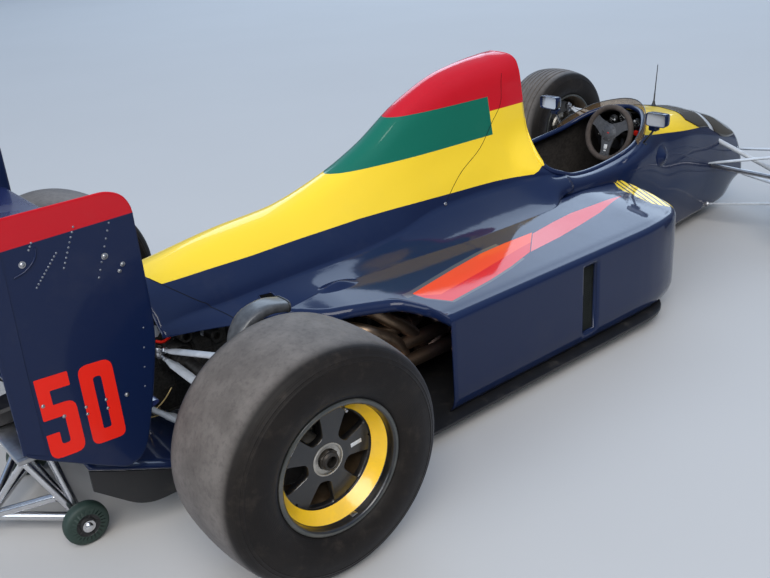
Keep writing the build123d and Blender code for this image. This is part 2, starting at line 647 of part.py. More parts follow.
# ---------------------------------------------------------------- lifting jack
# two wheels on an axle, a foot joint behind it, a saddle under the tail and a handle to the rear
JACK_Y0, JACK_Y1, JACK_X, JACK_WHEEL_R = -347.0, 118.0, -452.0, 64.0
MID = (JACK_Y0 + JACK_Y1) / 2
FOOT = (-645.0, MID, 64.0)
SADDLE_Z, SADDLE_HALF = 262.0, 150.0
JACK_TUBE = 13.0
HANDLE_X = -1230.0
with BuildPart() as jack_frame:
    disc_y(JACK_X, JACK_Y0 - 32, JACK_Y1 + 32, JACK_WHEEL_R, 12)
    for sg in (-1, 1):
        low = (JACK_X, MID + sg * 195, JACK_WHEEL_R)
        front = (-478.0, MID + sg * SADDLE_HALF * 0.85, SADDLE_Z)
        back = (-545.0, MID + sg * SADDLE_HALF * 0.85, SADDLE_Z)
        knee = tuple(a + 0.38 * (b - a) for a, b in zip(low, back))
        for p, q, r in ((low, front, JACK_TUBE), (low, back, JACK_TUBE), (low, FOOT, JACK_TUBE), (knee, FOOT, JACK_TUBE), (back, FOOT, 9.0)):
            bar(p, q, r)
    block(-565, -460, MID - SADDLE_HALF, MID + SADDLE_HALF, SADDLE_Z, SADDLE_Z + 17)
    bar(FOOT, (HANDLE_X, MID, 110), 15)
    disc_y(HANDLE_X, MID - 190, MID + 190, 110, 15)
jack_frame.part.label = "jack_frame"
export_step(jack_frame.part, "parts/jack_frame.step")
for name, y in (("right", JACK_Y0), ("left", JACK_Y1)):
    with BuildPart() as jack_wheel:
        disc_y(JACK_X, y - 20, y + 20, JACK_WHEEL_R, JACK_WHEEL_R)
        disc_y(JACK_X, y - 30, y + 30, JACK_WHEEL_R, 12 + RUNNING, mode=Mode.SUBTRACT)
    jack_wheel.part.label = "jack_wheel_" + name
    export_step(jack_wheel.part, "parts/jack_wheel_" + name + ".step")
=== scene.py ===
import math
import random

import bmesh
import bpy
import numpy as np
from mathutils import Matrix, Vector


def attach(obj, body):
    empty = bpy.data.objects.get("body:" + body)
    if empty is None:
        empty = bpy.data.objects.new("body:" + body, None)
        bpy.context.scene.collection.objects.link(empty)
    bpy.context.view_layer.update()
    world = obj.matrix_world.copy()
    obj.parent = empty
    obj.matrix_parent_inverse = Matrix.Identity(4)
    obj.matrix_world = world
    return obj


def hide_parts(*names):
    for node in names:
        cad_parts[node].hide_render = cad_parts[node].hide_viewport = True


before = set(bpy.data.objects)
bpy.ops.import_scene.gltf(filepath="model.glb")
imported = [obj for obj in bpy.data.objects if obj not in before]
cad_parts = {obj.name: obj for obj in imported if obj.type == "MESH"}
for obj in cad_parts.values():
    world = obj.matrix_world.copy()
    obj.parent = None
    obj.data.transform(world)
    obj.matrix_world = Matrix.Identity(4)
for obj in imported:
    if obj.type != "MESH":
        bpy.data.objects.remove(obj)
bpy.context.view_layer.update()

# Open wheel racing car. Lengths below are millimetres, with stations measured forward from the
# rear axle, +Y to the car's left and +Z up; W() turns them into the shared frame in metres.
AX = -986.0
WB = 2907.0
rng = random.Random(7)


def W(p):
    return ((p[0] + AX) / 1000.0, p[1] / 1000.0, p[2] / 1000.0)


def V(*a):
    return np.array(a, float)


# ------------------------------------------------------------------ curves and tables
def catmull(pts, n=8, closed=False):
    """Smooth polyline through pts, n steps a span."""
    P = [np.array(p, float) for p in pts]
    m = len(P)
    out = []
    spans = m if closed else m - 1
    for i in range(spans):
        if closed:
            a, b, c, d = P[(i - 1) % m], P[i], P[(i + 1) % m], P[(i + 2) % m]
        else:
            b, c = P[i], P[i + 1]
            a = P[i - 1] if i > 0 else 2 * b - c
            d = P[i + 2] if i + 2 < m else 2 * c - b
        ta = max(np.linalg.norm(b - a), 1e-6) ** 0.5
        tb = max(np.linalg.norm(c - b), 1e-6) ** 0.5
        tc = max(np.linalg.norm(d - c), 1e-6) ** 0.5
        m1 = tb * ((b - a) / ta - (c - a) / (ta + tb) + (c - b) / tb)
        m2 = tb * ((c - b) / tb - (d - b) / (tb + tc) + (d - c) / tc)
        for k in range(n):
            t = k / n
            t2, t3 = t * t, t * t * t
            out.append((2 * t3 - 3 * t2 + 1) * b + (t3 - 2 * t2 + t) * m1 + (-2 * t3 + 3 * t2) * c + (t3 - t2) * m2)
    if not closed:
        out.append(P[-1])
    return out


def even(pts, n):
    """n points evenly spaced along a polyline."""
    P = np.array(pts, float)
    d = np.r_[0, np.cumsum(np.linalg.norm(np.diff(P, axis=0), axis=1))]
    s = np.linspace(0, d[-1], n)
    return [np.array([np.interp(v, d, P[:, k]) for k in range(P.shape[1])]) for v in s]


def pchip(x, y):
    x, y = np.array(x, float), np.array(y, float)
    h = np.diff(x)
    dl = np.diff(y) / h
    m = np.zeros(len(x))
    for i in range(1, len(x) - 1):
        if dl[i - 1] * dl[i] > 0:
            w1, w2 = 2 * h[i] + h[i - 1], h[i] + 2 * h[i - 1]
            m[i] = (w1 + w2) / (w1 / dl[i - 1] + w2 / dl[i])
    m[0], m[-1] = dl[0], dl[-1]

    def f(q):
        q = np.clip(q, x[0], x[-1])
        i = min(max(int(np.searchsorted(x, q) - 1), 0), len(x) - 2)
        t = (q - x[i]) / h[i]
        return ((2 * t**3 - 3 * t**2 + 1) * y[i] + (t**3 - 2 * t**2 + t) * h[i] * m[i]
                + (-2 * t**3 + 3 * t**2) * y[i + 1] + (t**3 - t**2) * h[i] * m[i + 1])
    return f


class Table:
    """Rows whose first column is the station; the rest are read smoothly between stations."""

    def __init__(self, rows, window=60.0):
        self.lo, self.hi = rows[0][0], rows[-1][0]
        self.f = [pchip([r[0] for r in rows], [r[k] for r in rows]) for k in range(1, len(rows[0]))]
        self.w = window

    def at(self, x):
        w = min(self.w, x - self.lo, self.hi - x)
        if w <= 1:
            return [g(x) for g in self.f]
        q = np.linspace(-w, w, 9)
        k = np.cos(q / w * np.pi / 2) ** 2
        return [float(sum(g(x + a) * b for a, b in zip(q, k)) / k.sum()) for g in self.f]


def smooth01(t):
    t = min(max(t, 0.0), 1.0)
    return t * t * (3 - 2 * t)


# ------------------------------------------------------------------ mesh building
class Bag:
    """Collects vertices and faces, each face with a material index."""

    def __init__(self):
        self.v, self.f, self.m = [], [], []
        self.mi = 0

    def add(self, verts, faces):
        k = len(self.v)
        self.v += [tuple(float(c) for c in v) for v in verts]
        self.f += [tuple(i + k for i in f) for f in faces]
        self.m += [self.mi] * len(faces)

    def grid(self, rows, wrap_u=False, wrap_v=False):
        n, m = len(rows), len(rows[0])
        verts = [p for r in rows for p in r]
        faces = []
        for i in range(n if wrap_u else n - 1):
            for j in range(m if wrap_v else m - 1):
                a, b = i * m + j, i * m + (j + 1) % m
                c, d = ((i + 1) % n) * m + (j + 1) % m, ((i + 1) % n) * m + j
                faces.append((a, b, c, d))
        self.add(verts, faces)

    def fan(self, ring, centre=None):
        c = centre if centre is not None else np.mean(np.array(ring), axis=0)
        self.add([c] + list(ring), [(0, i + 1, (i + 1) % len(ring) + 1) for i in range(len(ring))])

    def loft(self, rings, caps=True):
        self.grid(rings, wrap_v=True)
        if caps:
            self.add(rings[0], [tuple(range(len(rings[0])))])
            self.add(rings[-1], [tuple(range(len(rings[-1])))])

    def sweep(self, path, section, up=(0, 0, 1), caps=True, scale=None, twist=None):
        """section: list of (across, up) points carried along path."""
        P = [np.array(p, float) for p in path]
        rings = []
        upv = np.array(up, float)
        for i, p in enumerate(P):
            t = P[min(i + 1, len(P) - 1)] - P[max(i - 1, 0)]
            t = t / max(np.linalg.norm(t), 1e-9)
            a = np.cross(t, upv)
            if np.linalg.norm(a) < 1e-6:
                a = np.cross(t, V(1, 0, 0))
            a = a / np.linalg.norm(a)
            b = np.cross(a, t)
            s = 1.0 if scale is None else (scale[i] if not callable(scale) else scale(i / (len(P) - 1)))
            rings.append([p + s * (a * q[0] + b * q[1]) for q in section])
        self.loft(rings, caps)

    def tube(self, path, r, seg=14, caps=True):
        """Round tube with a frame carried along without twist."""
        P = [np.array(p, float) for p in path]
        R = [r] * len(P) if np.isscalar(r) else list(r)
        t0 = P[1] - P[0]
        t0 = t0 / np.linalg.norm(t0)
        a = np.cross(t0, V(0, 0, 1) if abs(t0[2]) < 0.9 else V(1, 0, 0))
        a = a / np.linalg.norm(a)
        rings = []
        for i, p in enumerate(P):
            t = P[min(i + 1, len(P) - 1)] - P[max(i - 1, 0)]
            t = t / max(np.linalg.norm(t), 1e-9)
            a = a - t * np.dot(a, t)
            a = a / np.linalg.norm(a)
            b = np.cross(t, a)
            rings.append([p + R[i] * (a * math.cos(2 * math.pi * k / seg) + b * math.sin(2 * math.pi * k / seg)) for k in range(seg)])
        self.loft(rings, caps)

    def rev(self, origin, axis, prof, seg=48, closed=False, a0=0.0, a1=2 * math.pi):
        """prof: (along the axis, radius) points turned about the axis."""
        o, ax = np.array(origin, float), np.array(axis, float)
        ax = ax / np.linalg.norm(ax)
        u = np.cross(ax, V(0, 0, 1) if abs(ax[2]) < 0.9 else V(1, 0, 0))
        u = u / np.linalg.norm(u)
        w = np.cross(ax, u)
        full = abs(a1 - a0 - 2 * math.pi) < 1e-6
        n = seg if full else seg + 1
        rows = []
        for k in range(n):
            t = a0 + (a1 - a0) * k / seg
            d = u * math.cos(t) + w * math.sin(t)
            rows.append([o + ax * s + d * r for s, r in prof])
        self.grid(rows, wrap_u=full, wrap_v=closed)

    def cyl(self, p, q, r, seg=20, bev=0.0, r2=None):
        p, q = np.array(p, float), np.array(q, float)
        L = np.linalg.norm(q - p)
        r2 = r if r2 is None else r2
        b = min(bev, L * 0.4, r * 0.5)
        prof = [(0, 0.0), (0, r - b), (b, r), (L - b, r2), (L, r2 - b), (L, 0.0)] if b > 0 else [(0, 0.0), (0, r), (L, r2), (L, 0.0)]
        self.rev(p, q - p, prof, seg)

    def dome(self, p, n, r, h=None, seg=10):
        h = r * 0.45 if h is None else h
        prof = [(0, r), (h * 0.55, r * 0.86), (h * 0.88, r * 0.5), (h, 0.0)]
        self.rev(p, n, prof, seg)

    def hexa(self, p, n, r, h, turn=0.0):
        n = np.array(n, float) / np.linalg.norm(n)
        u = np.cross(n, V(0, 0, 1) if abs(n[2]) < 0.9 else V(1, 0, 0))
        u /= np.linalg.norm(u)
        w = np.cross(n, u)
        ring = lambda s, k: [np.array(p, float) + n * s + (u * math.cos(turn + i * math.pi / 3) + w * math.sin(turn + i * math.pi / 3)) * r * k for i in range(6)]
        self.loft([ring(0, 1), ring(h * 0.8, 1), ring(h, 0.86)])

    def box(self, c, s, axes=None, bev=0.0):
        c, s = np.array(c, float), np.array(s, float) / 2
        A = np.eye(3) if axes is None else np.array(axes, float)
        b = min(bev, s.min() * 0.9)
        if b <= 0:
            vs = [c + A.T @ (s * V(i, j, k)) for i in (-1, 1) for j in (-1, 1) for k in (-1, 1)]
            self.add(vs, [(0, 1, 3, 2), (4, 6, 7, 5), (0, 4, 5, 1), (2, 3, 7, 6), (0, 2, 6, 4), (1, 5, 7, 3)])
            return
        ring = lambda e, z: [c + A.T @ V(x, y, z) for x, y in (
            (s[0] - e, -s[1] + b), (s[0] - e, s[1] - b), (s[0] - b, s[1] - e), (-s[0] + b, s[1] - e),
            (-s[0] + e, s[1] - b), (-s[0] + e, -s[1] + b), (-s[0] + b, -s[1] + e), (s[0] - b, -s[1] + e))]
        self.loft([ring(b, -s[2]), ring(b * 0.3, -s[2] + b * 0.3), ring(0, -s[2] + b), ring(0, s[2] - b), ring(b * 0.3, s[2] - b * 0.3), ring(b, s[2])])

    def prism(self, outline, origin, u, v, n, depth, bev=0.0):
        """outline in (u, v) coordinates pushed along n."""
        o, u, v, n = (np.array(k, float) for k in (origin, u, v, n))
        c = np.mean(np.array(outline), axis=0)
        ring = lambda d, e: [o + u * (q[0] - e * (q[0] - c[0]) / max(np.hypot(*(np.array(q) - c)), 1e-6))
                             + v * (q[1] - e * (q[1] - c[1]) / max(np.hypot(*(np.array(q) - c)), 1e-6)) + n * d for q in outline]
        if bev > 0:
            self.loft([ring(0, bev), ring(bev, 0), ring(depth - bev, 0), ring(depth, bev)])
        else:
            self.loft([ring(0, 0), ring(depth, 0)])

    def mirror(self):
        """Adds the mirror image across the car's middle plane."""
        k, nf = len(self.v), len(self.f)
        self.v += [(a, -b, c) for a, b, c in self.v[:k]]
        self.f += [tuple(reversed([i + k for i in f])) for f in self.f[:nf]]
        self.m += self.m[:nf]
        return self

    def piece(self, name, mats, body="chassis", angle=38, replaces=(), slot=None, merge=0.02, solid=None, ref=None, bevel=None,
              normals=True, offset=-1.0, even=True):
        me = bpy.data.meshes.new(name)
        me.from_pydata([W(v) for v in self.v], [], self.f)
        mats = list(mats) if isinstance(mats, (list, tuple)) else [mats]
        for m in mats:
            me.materials.append(m)
        me.polygons.foreach_set("material_index", np.array(self.m, np.int32))
        bm = bmesh.new()
        bm.from_mesh(me)
        if merge:
            bmesh.ops.remove_doubles(bm, verts=bm.verts, dist=merge / 1000)
            bmesh.ops.dissolve_degenerate(bm, dist=1e-6, edges=bm.edges)
        if normals:
            bmesh.ops.recalc_face_normals(bm, faces=bm.faces)
        if ref is not None:
            o = Vector(W(ref))
            if sum(f.normal.dot(f.calc_center_median() - o) * f.calc_area() for f in bm.faces) < 0:
                bmesh.ops.reverse_faces(bm, faces=bm.faces)
        for f in bm.faces:
            f.smooth = True
        lim = math.radians(angle)
        for e in bm.edges:
            e.smooth = not (len(e.link_faces) == 2 and e.calc_face_angle(0.0) > lim)
        bm.to_mesh(me)
        bm.free()
        return place(name, me, body, replaces, solid, bevel, offset, even)


def place(name, me, body="chassis", replaces=(), solid=None, bevel=None, offset=-1.0, even=True):
    ob = bpy.data.objects.new(name, me)
    bpy.context.scene.collection.objects.link(ob)
    if solid:
        md = ob.modifiers.new("thick", "SOLIDIFY")
        md.thickness = solid / 1000
        md.offset = offset
        md.use_even_offset = even
        md.use_quality_normals = True
    if bevel:
        md = ob.modifiers.new("edge", "BEVEL")
        md.width = bevel / 1000
        md.segments = 2
        md.limit_method = "ANGLE"
        md.angle_limit = math.radians(50)
    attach(ob, body)
    if replaces:
        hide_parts(*([replaces] if isinstance(replaces, str) else replaces))
    return ob


# ------------------------------------------------------------------ node expressions
class S:
    """A value in a node tree; arithmetic on it adds nodes."""

    def __init__(self, nt, s):
        self.nt, self.s = nt, s

    def _m(self, op, *others, swap=False, clamp=False):
        n = self.nt.nodes.new("ShaderNodeMath")
        n.operation = op
        n.use_clamp = clamp
        args = [self, *others]
        if swap:
            args = args[::-1]
        for i, a in enumerate(args):
            if isinstance(a, S):
                self.nt.links.new(a.s, n.inputs[i])
            else:
                n.inputs[i].default_value = float(a)
        return S(self.nt, n.outputs[0])

    def __add__(self, o): return self._m("ADD", o)
    def __radd__(self, o): return self._m("ADD", o)
    def __sub__(self, o): return self._m("SUBTRACT", o)
    def __rsub__(self, o): return self._m("SUBTRACT", o, swap=True)
    def __mul__(self, o): return self._m("MULTIPLY", o)
    def __rmul__(self, o): return self._m("MULTIPLY", o)
    def __truediv__(self, o): return self._m("DIVIDE", o)
    def __neg__(self): return self._m("MULTIPLY", -1.0)
    def gt(self, o): return self._m("GREATER_THAN", o)
    def lt(self, o): return self._m("LESS_THAN", o)
    def mx(self, o): return self._m("MAXIMUM", o)
    def mn(self, o): return self._m("MINIMUM", o)
    def abs(self): return self._m("ABSOLUTE")
    def sqrt(self): return self._m("SQRT")
    def sin(self): return self._m("SINE")
    def frac(self): return self._m("FRACT")
    def pw(self, o): return self._m("POWER", o)
    def clamp(self): return self._m("ADD", 0.0, clamp=True)

    def step(self, a, b):
        """0 below a, 1 above b, smooth between."""
        n = self.nt.nodes.new("ShaderNodeMapRange")
        n.interpolation_type = "SMOOTHSTEP"
        self.nt.links.new(self.s, n.inputs["Value"])
        n.inputs["From Min"].default_value = a
        n.inputs["From Max"].default_value = b
        return S(self.nt, n.outputs["Result"])


class Mat:
    """A procedural material: position in millimetres from the rear axle, noises, and a principled shader."""

    def __init__(self, name, **kw):
        self.m = bpy.data.materials.new(name)
        self.m.use_nodes = True
        self.nt = self.m.node_tree
        self.b = self.nt.nodes["Principled BSDF"]
        for k, v in kw.items():
            self.b.inputs[k.replace("_", " ")].default_value = v
        tc = self.nt.nodes.new("ShaderNodeTexCoord")
        self.co = tc.outputs["Object"]
        sx = self.nt.nodes.new("ShaderNodeSeparateXYZ")
        self.nt.links.new(self.co, sx.inputs[0])
        self.x = S(self.nt, sx.outputs[0]) * 1000.0 - AX
        self.y = S(self.nt, sx.outputs[1]) * 1000.0
        self.z = S(self.nt, sx.outputs[2]) * 1000.0

    def noise(self, scale, detail=3.0, rough=0.5, dist=0.0, stretch=None, offset=None):
        n = self.nt.nodes.new("ShaderNodeTexNoise")
        n.inputs["Scale"].default_value = scale
        n.inputs["Detail"].default_value = detail
        n.inputs["Roughness"].default_value = rough
        n.inputs["Distortion"].default_value = dist
        if stretch or offset:
            mp = self.nt.nodes.new("ShaderNodeMapping")
            mp.inputs["Scale"].default_value = stretch or (1, 1, 1)
            mp.inputs["Location"].default_value = offset or (0, 0, 0)
            self.nt.links.new(self.co, mp.inputs[0])
            self.nt.links.new(mp.outputs[0], n.inputs["Vector"])
        else:
            self.nt.links.new(self.co, n.inputs["Vector"])
        return S(self.nt, n.outputs["Fac"])

    def voronoi(self, scale, feature="F1"):
        n = self.nt.nodes.new("ShaderNodeTexVoronoi")
        n.feature = feature
        n.inputs["Scale"].default_value = scale
        self.nt.links.new(self.co, n.inputs["Vector"])
        return S(self.nt, n.outputs["Distance"])

    def mix(self, fac, a, b):
        """a where fac is 0, b where fac is 1; colours are tuples or colour sockets."""
        n = self.nt.nodes.new("ShaderNodeMix")
        n.data_type = "RGBA"
        ins = [i for i in n.inputs if i.type == "RGBA"]
        if isinstance(fac, S):
            self.nt.links.new(fac.s, n.inputs[0])
        else:
            n.inputs[0].default_value = fac
        for sock, c in zip(ins, (a, b)):
            if isinstance(c, tuple):
                sock.default_value = (*c[:3], 1.0)
            else:
                self.nt.links.new(c, sock)
        return [o for o in n.outputs if o.type == "RGBA"][0]

    def color(self, c):
        if isinstance(c, tuple):
            self.b.inputs["Base Color"].default_value = (*c[:3], 1.0)
        else:
            self.nt.links.new(c, self.b.inputs["Base Color"])
        return self

    def rough(self, r):
        if isinstance(r, S):
            self.nt.links.new(r.s, self.b.inputs["Roughness"])
        else:
            self.b.inputs["Roughness"].default_value = r
        return self

    def metal(self, r):
        if isinstance(r, S):
            self.nt.links.new(r.s, self.b.inputs["Metallic"])
        else:
            self.b.inputs["Metallic"].default_value = r
        return self

    def bump(self, h, dist=0.001, strength=1.0, coat=False):
        n = self.nt.nodes.new("ShaderNodeBump")
        n.inputs["Strength"].default_value = strength
        n.inputs["Distance"].default_value = dist
        self.nt.links.new(h.s, n.inputs["Height"])
        self.nt.links.new(n.outputs[0], self.b.inputs["Normal"])
        if coat:
            self.nt.links.new(n.outputs[0], self.b.inputs["Coat Normal"])
        return self


def round_poly(pts, radii, n=7):
    out = []
    m = len(pts)
    for i in range(m):
        p, a, c = np.array(pts[i], float), np.array(pts[i - 1], float), np.array(pts[(i + 1) % m], float)
        u, v = (a - p), (c - p)
        lu, lv = np.linalg.norm(u), np.linalg.norm(v)
        r = min(radii[i] if isinstance(radii, (list, tuple)) else radii, lu * 0.48, lv * 0.48)
        p0, p1 = p + u / lu * r, p + v / lv * r
        for t in np.linspace(0, 1, n):
            out.append(tuple((1 - t) ** 2 * p0 + 2 * t * (1 - t) * p + t * t * p1))
    return out


# ------------------------------------------------------------------ materials
def tex_dust(m, scale=9.0, lo=0.45, hi=0.75):
    return m.noise(scale, 5.0, 0.6).step(lo, hi)


NAVY, PRED, GREEN, YELLOW = (0.0042, 0.0118, 0.047), (0.53, 0.006, 0.016), (0.004, 0.135, 0.088), (0.92, 0.64, 0.032)


def pl(v, pts):
    """Piecewise linear function of a value, level beyond its ends."""
    out, k0 = None, 0.0
    ks = [(pts[i + 1][1] - pts[i][1]) / (pts[i + 1][0] - pts[i][0]) for i in range(len(pts) - 1)] + [0.0]
    for (x, _), k in zip(pts, ks):
        t = (v - x).mx(0.0) * (k - k0)
        out = t if out is None else out + t
        k0 = k
    return out + pts[0][1]


def livery(m):
    """Engine cover: navy flank, yellow above it, then green and red."""
    e = 0.7
    edge = pl(m.x, [(-40, 573), (120, 575), (297, 576), (488, 579), (728, 582.5), (906, 577), (1129, 567.5), (1373, 558.5), (1500, 551), (1550, 552), (1600, 579), (1615, 640)])
    # the tail cap behind the rear joint is navy
    tail = pl(m.z, [(455, 142), (466, 126), (482, 106), (505, 79), (526, 54), (544, 31), (561, 10), (575, -9), (584, -22), (589, -28), (600, -40)])
    c = m.mix((m.z - edge).step(-e, e) * (m.x - tail).step(-e, e), NAVY, YELLOW)
    c = m.mix((m.z - 725.0).step(-e, e) * (1421.0 - m.x).step(-e, e), c, GREEN)
    return m.mix(((m.z - 867.0).step(-e, e)).mx((m.z - 812.5).step(-e, e) * (m.x - 1421.0).step(-e, e)), c, PRED)


def pod_livery(m):
    """Side pods: navy with a two-part flash on the top and a striped band at the front. A grey band of painted shadow
    runs along the flash's inner border, and flash B's front end is painted pink as a painted highlight of the sky.
    """
    e = 0.8
    a = m.y.abs()
    top = (m.z - 384.0).step(-3, 3)
    i1 = pl(m.x, [(658, 492), (749, 475), (884, 451), (1021, 431), (1151, 426), (1289, 428)])
    o1 = pl(m.x, [(658, 494), (673, 535), (729, 600), (817, 590), (920, 579), (1037, 558), (1171, 525), (1290, 500)])
    right = m.x - (525.0 - a) * 1.216
    in1 = (a - i1).step(-e, e) * (o1 - a).step(-e, e) * (m.x - 660.0).step(-e, e) * (1171.0 - right).step(-e, e) * top
    half = (a - (i1 * 0.42 + o1 * 0.58)).step(-3, 3)
    # painted shadow: a grey band along the flash's inner border that darkens the navy beside the flash
    painted_shadow_band = (a - (i1 - 16.0)).step(-e, e) * (o1 + 10.0 - a).step(-e, e) * (m.x - 628.0).step(-e, e) * (1120.0 - m.x).step(-e, e) * top
    i2 = pl(m.x, [(1280, 436), (1414, 417), (1531, 406), (1691, 412), (1827, 411)])
    o2 = pl(m.x, [(1171, 526), (1343, 512), (1478, 493), (1620, 470), (1827, 412)])
    in2 = (a - i2).step(-e, e) * (o2 - a).step(-e, e) * (right - 1176.0).step(-e, e) * (1827.0 - m.x).step(-e, e) * top
    xi = pl(a, [(296, 1935), (353, 1886), (404, 1890), (459, 1882), (513, 1873), (545, 1893), (590, 1932)])
    band = (m.x - xi).step(-e, e) * (612.0 - a).step(-e, e) * (m.z - 386.0).step(-2, 2)
    stripe = (((m.x * 1.0 + a * 0.42 + m.noise(14, 2, 0.5) * 9.0) / 25.0).frac() - 0.66).step(-0.04, 0.04)
    c = m.mix(painted_shadow_band * 0.8, NAVY, (0.10, 0.10, 0.105))
    c = m.mix(in1, c, m.mix(half, (0.80, 0.062, 0.012), (0.64, 0.009, 0.010)))
    # painted highlight: flash B is pink at its front end and fades to red over 420 mm, standing in for the sky's
    # reflection on the paint
    c = m.mix(in2, c, m.mix((m.x - 1180.0).step(0, 420), (0.64, 0.10, 0.105), (0.58, 0.010, 0.014)))
    return m.mix(band, c, m.mix(stripe, YELLOW, (0.012, 0.012, 0.014)))


def tub_livery(m):
    """Tub: navy with a yellow patch on the deck ahead of the cockpit."""
    e = 0.8
    low = (m.z - (555.5 - (m.x - 2258.0) * 0.1446)).step(-e, e)
    return m.mix(low * (m.x - 2256.0).step(-e, e) * (2716.0 - m.x).step(-e, e), NAVY, YELLOW)


def make_paint(name, colour=NAVY, coat=1.0, rough=0.42, dusty=0.032):
    m = Mat(name, IOR=1.45)
    n = m.noise(38, 4, 0.55)
    d = m.noise(5.5, 5, 0.65)
    dust = d.step(0.52, 0.8)
    c = colour if isinstance(colour, tuple) else colour(m)
    c = m.mix(dust * dusty + n * 0.007, c, (0.26, 0.24, 0.21))
    m.color(c)
    m.rough(rough + dust * 0.16 + n * 0.05)
    m.b.inputs["Specular IOR Level"].default_value = 0.1
    m.b.inputs["Coat Weight"].default_value = coat
    m.b.inputs["Coat IOR"].default_value = 1.33
    m.b.inputs["Coat Roughness"].default_value = 0.045
    m.bump(m.noise(260, 2, 0.5) * 0.6 + m.noise(7, 3, 0.5) * 9.0, 0.00012, 0.5, coat=True)
    return m.m


def make_plain(name, c1, c2, rough=(0.4, 0.6), metallic=0.0, scale=40, detail=4, bump=0.0002, spec=0.5, coat=0.0, stretch=None):
    m = Mat(name)
    n = m.noise(scale, detail, 0.6, stretch=stretch)
    big = m.noise(scale / 6, 4, 0.6)
    m.color(m.mix((n * 0.6 + big * 0.4).step(0.35, 0.65), c1, c2))
    m.rough(n * (rough[1] - rough[0]) + rough[0])
    m.b.inputs["Metallic"].default_value = metallic
    m.b.inputs["Specular IOR Level"].default_value = spec
    m.b.inputs["Coat Weight"].default_value = coat
    m.b.inputs["Coat Roughness"].default_value = 0.15
    m.bump(n + big, bump, 0.7)
    return m.m


M = {}
M["navy"] = make_paint("navy_paint")
M["livery"] = make_paint("cover_paint", livery)
M["pod"] = make_paint("pod_paint", pod_livery)
M["tub"] = make_paint("tub_paint", tub_livery)
M["hatch"] = make_paint("hatch_lacquer", (0.030, 0.023, 0.012), rough=0.3)
M["black"] = make_plain("black_composite", (0.006, 0.006, 0.007), (0.016, 0.016, 0.017), (0.28, 0.5), coat=0.3)
M["carbon"] = M["black"]
M["tyre"] = make_plain("tyre_rubber", (0.018, 0.016, 0.015), (0.035, 0.031, 0.028), (0.55, 0.8), scale=60)
M["rim"] = make_plain("rim_paint", (0.008, 0.008, 0.009), (0.014, 0.014, 0.015), (0.15, 0.3), coat=0.5)
M["grey"] = make_plain("grey_paint", (0.42, 0.44, 0.46), (0.52, 0.54, 0.56), (0.35, 0.5))
M["alu"] = make_plain("aluminium", (0.55, 0.56, 0.57), (0.66, 0.67, 0.68), (0.25, 0.42), 1.0)
M["steel"] = make_plain("steel", (0.40, 0.40, 0.41), (0.52, 0.52, 0.53), (0.25, 0.42), 1.0)
M["fins"] = make_plain("aluminium_fins", (0.30, 0.31, 0.32), (0.42, 0.43, 0.44), (0.35, 0.5), 1.0)
M["cast"] = make_plain("cast_alloy", (0.026, 0.0245, 0.0225), (0.058, 0.055, 0.050), (0.45, 0.65), 0.8, scale=120)
M["exhaust"] = make_plain("exhaust_steel", (0.42, 0.27, 0.13), (0.30, 0.20, 0.16), (0.3, 0.5), 1.0, scale=14)
M["suede"] = make_plain("suede", (0.050, 0.038, 0.031), (0.090, 0.070, 0.058), (0.8, 0.95), scale=300, bump=0.0006)
M["screen"] = make_plain("screen", (0.3, 0.2, 0.1), (0.32, 0.22, 0.12), (0.05, 0.1))
M["plastic"] = make_plain("black_plastic", (0.012, 0.012, 0.013), (0.02, 0.02, 0.021), (0.4, 0.6))
M["chrome"] = make_plain("polished_steel", (0.75, 0.75, 0.76), (0.85, 0.85, 0.86), (0.12, 0.25), 1.0, scale=25)
M["jackrub"] = make_plain("jack_rubber", (0.012, 0.028, 0.022), (0.02, 0.04, 0.032), (0.5, 0.75))
SLOTMAT = dict(navy_paint="navy", cover_paint="livery", black_composite="black", aluminium_fins="fins", cast_alloy="cast", exhaust_steel="exhaust",
               aluminium="alu", grey_paint="grey", suede="suede", screen="screen", black_plastic="plastic", polished_steel="chrome",
               jack_rubber="jackrub", tyre_rubber="tyre", rim_paint="rim", steel="steel")


def paint_nodes():
    for n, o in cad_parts.items():
        slot = o.data.materials[0].name.split(".")[0] if o.data.materials else "navy_paint"
        m = M[SLOTMAT.get(slot, "navy")]
        o.data.materials.clear()
        o.data.materials.append(m)


paint_nodes()
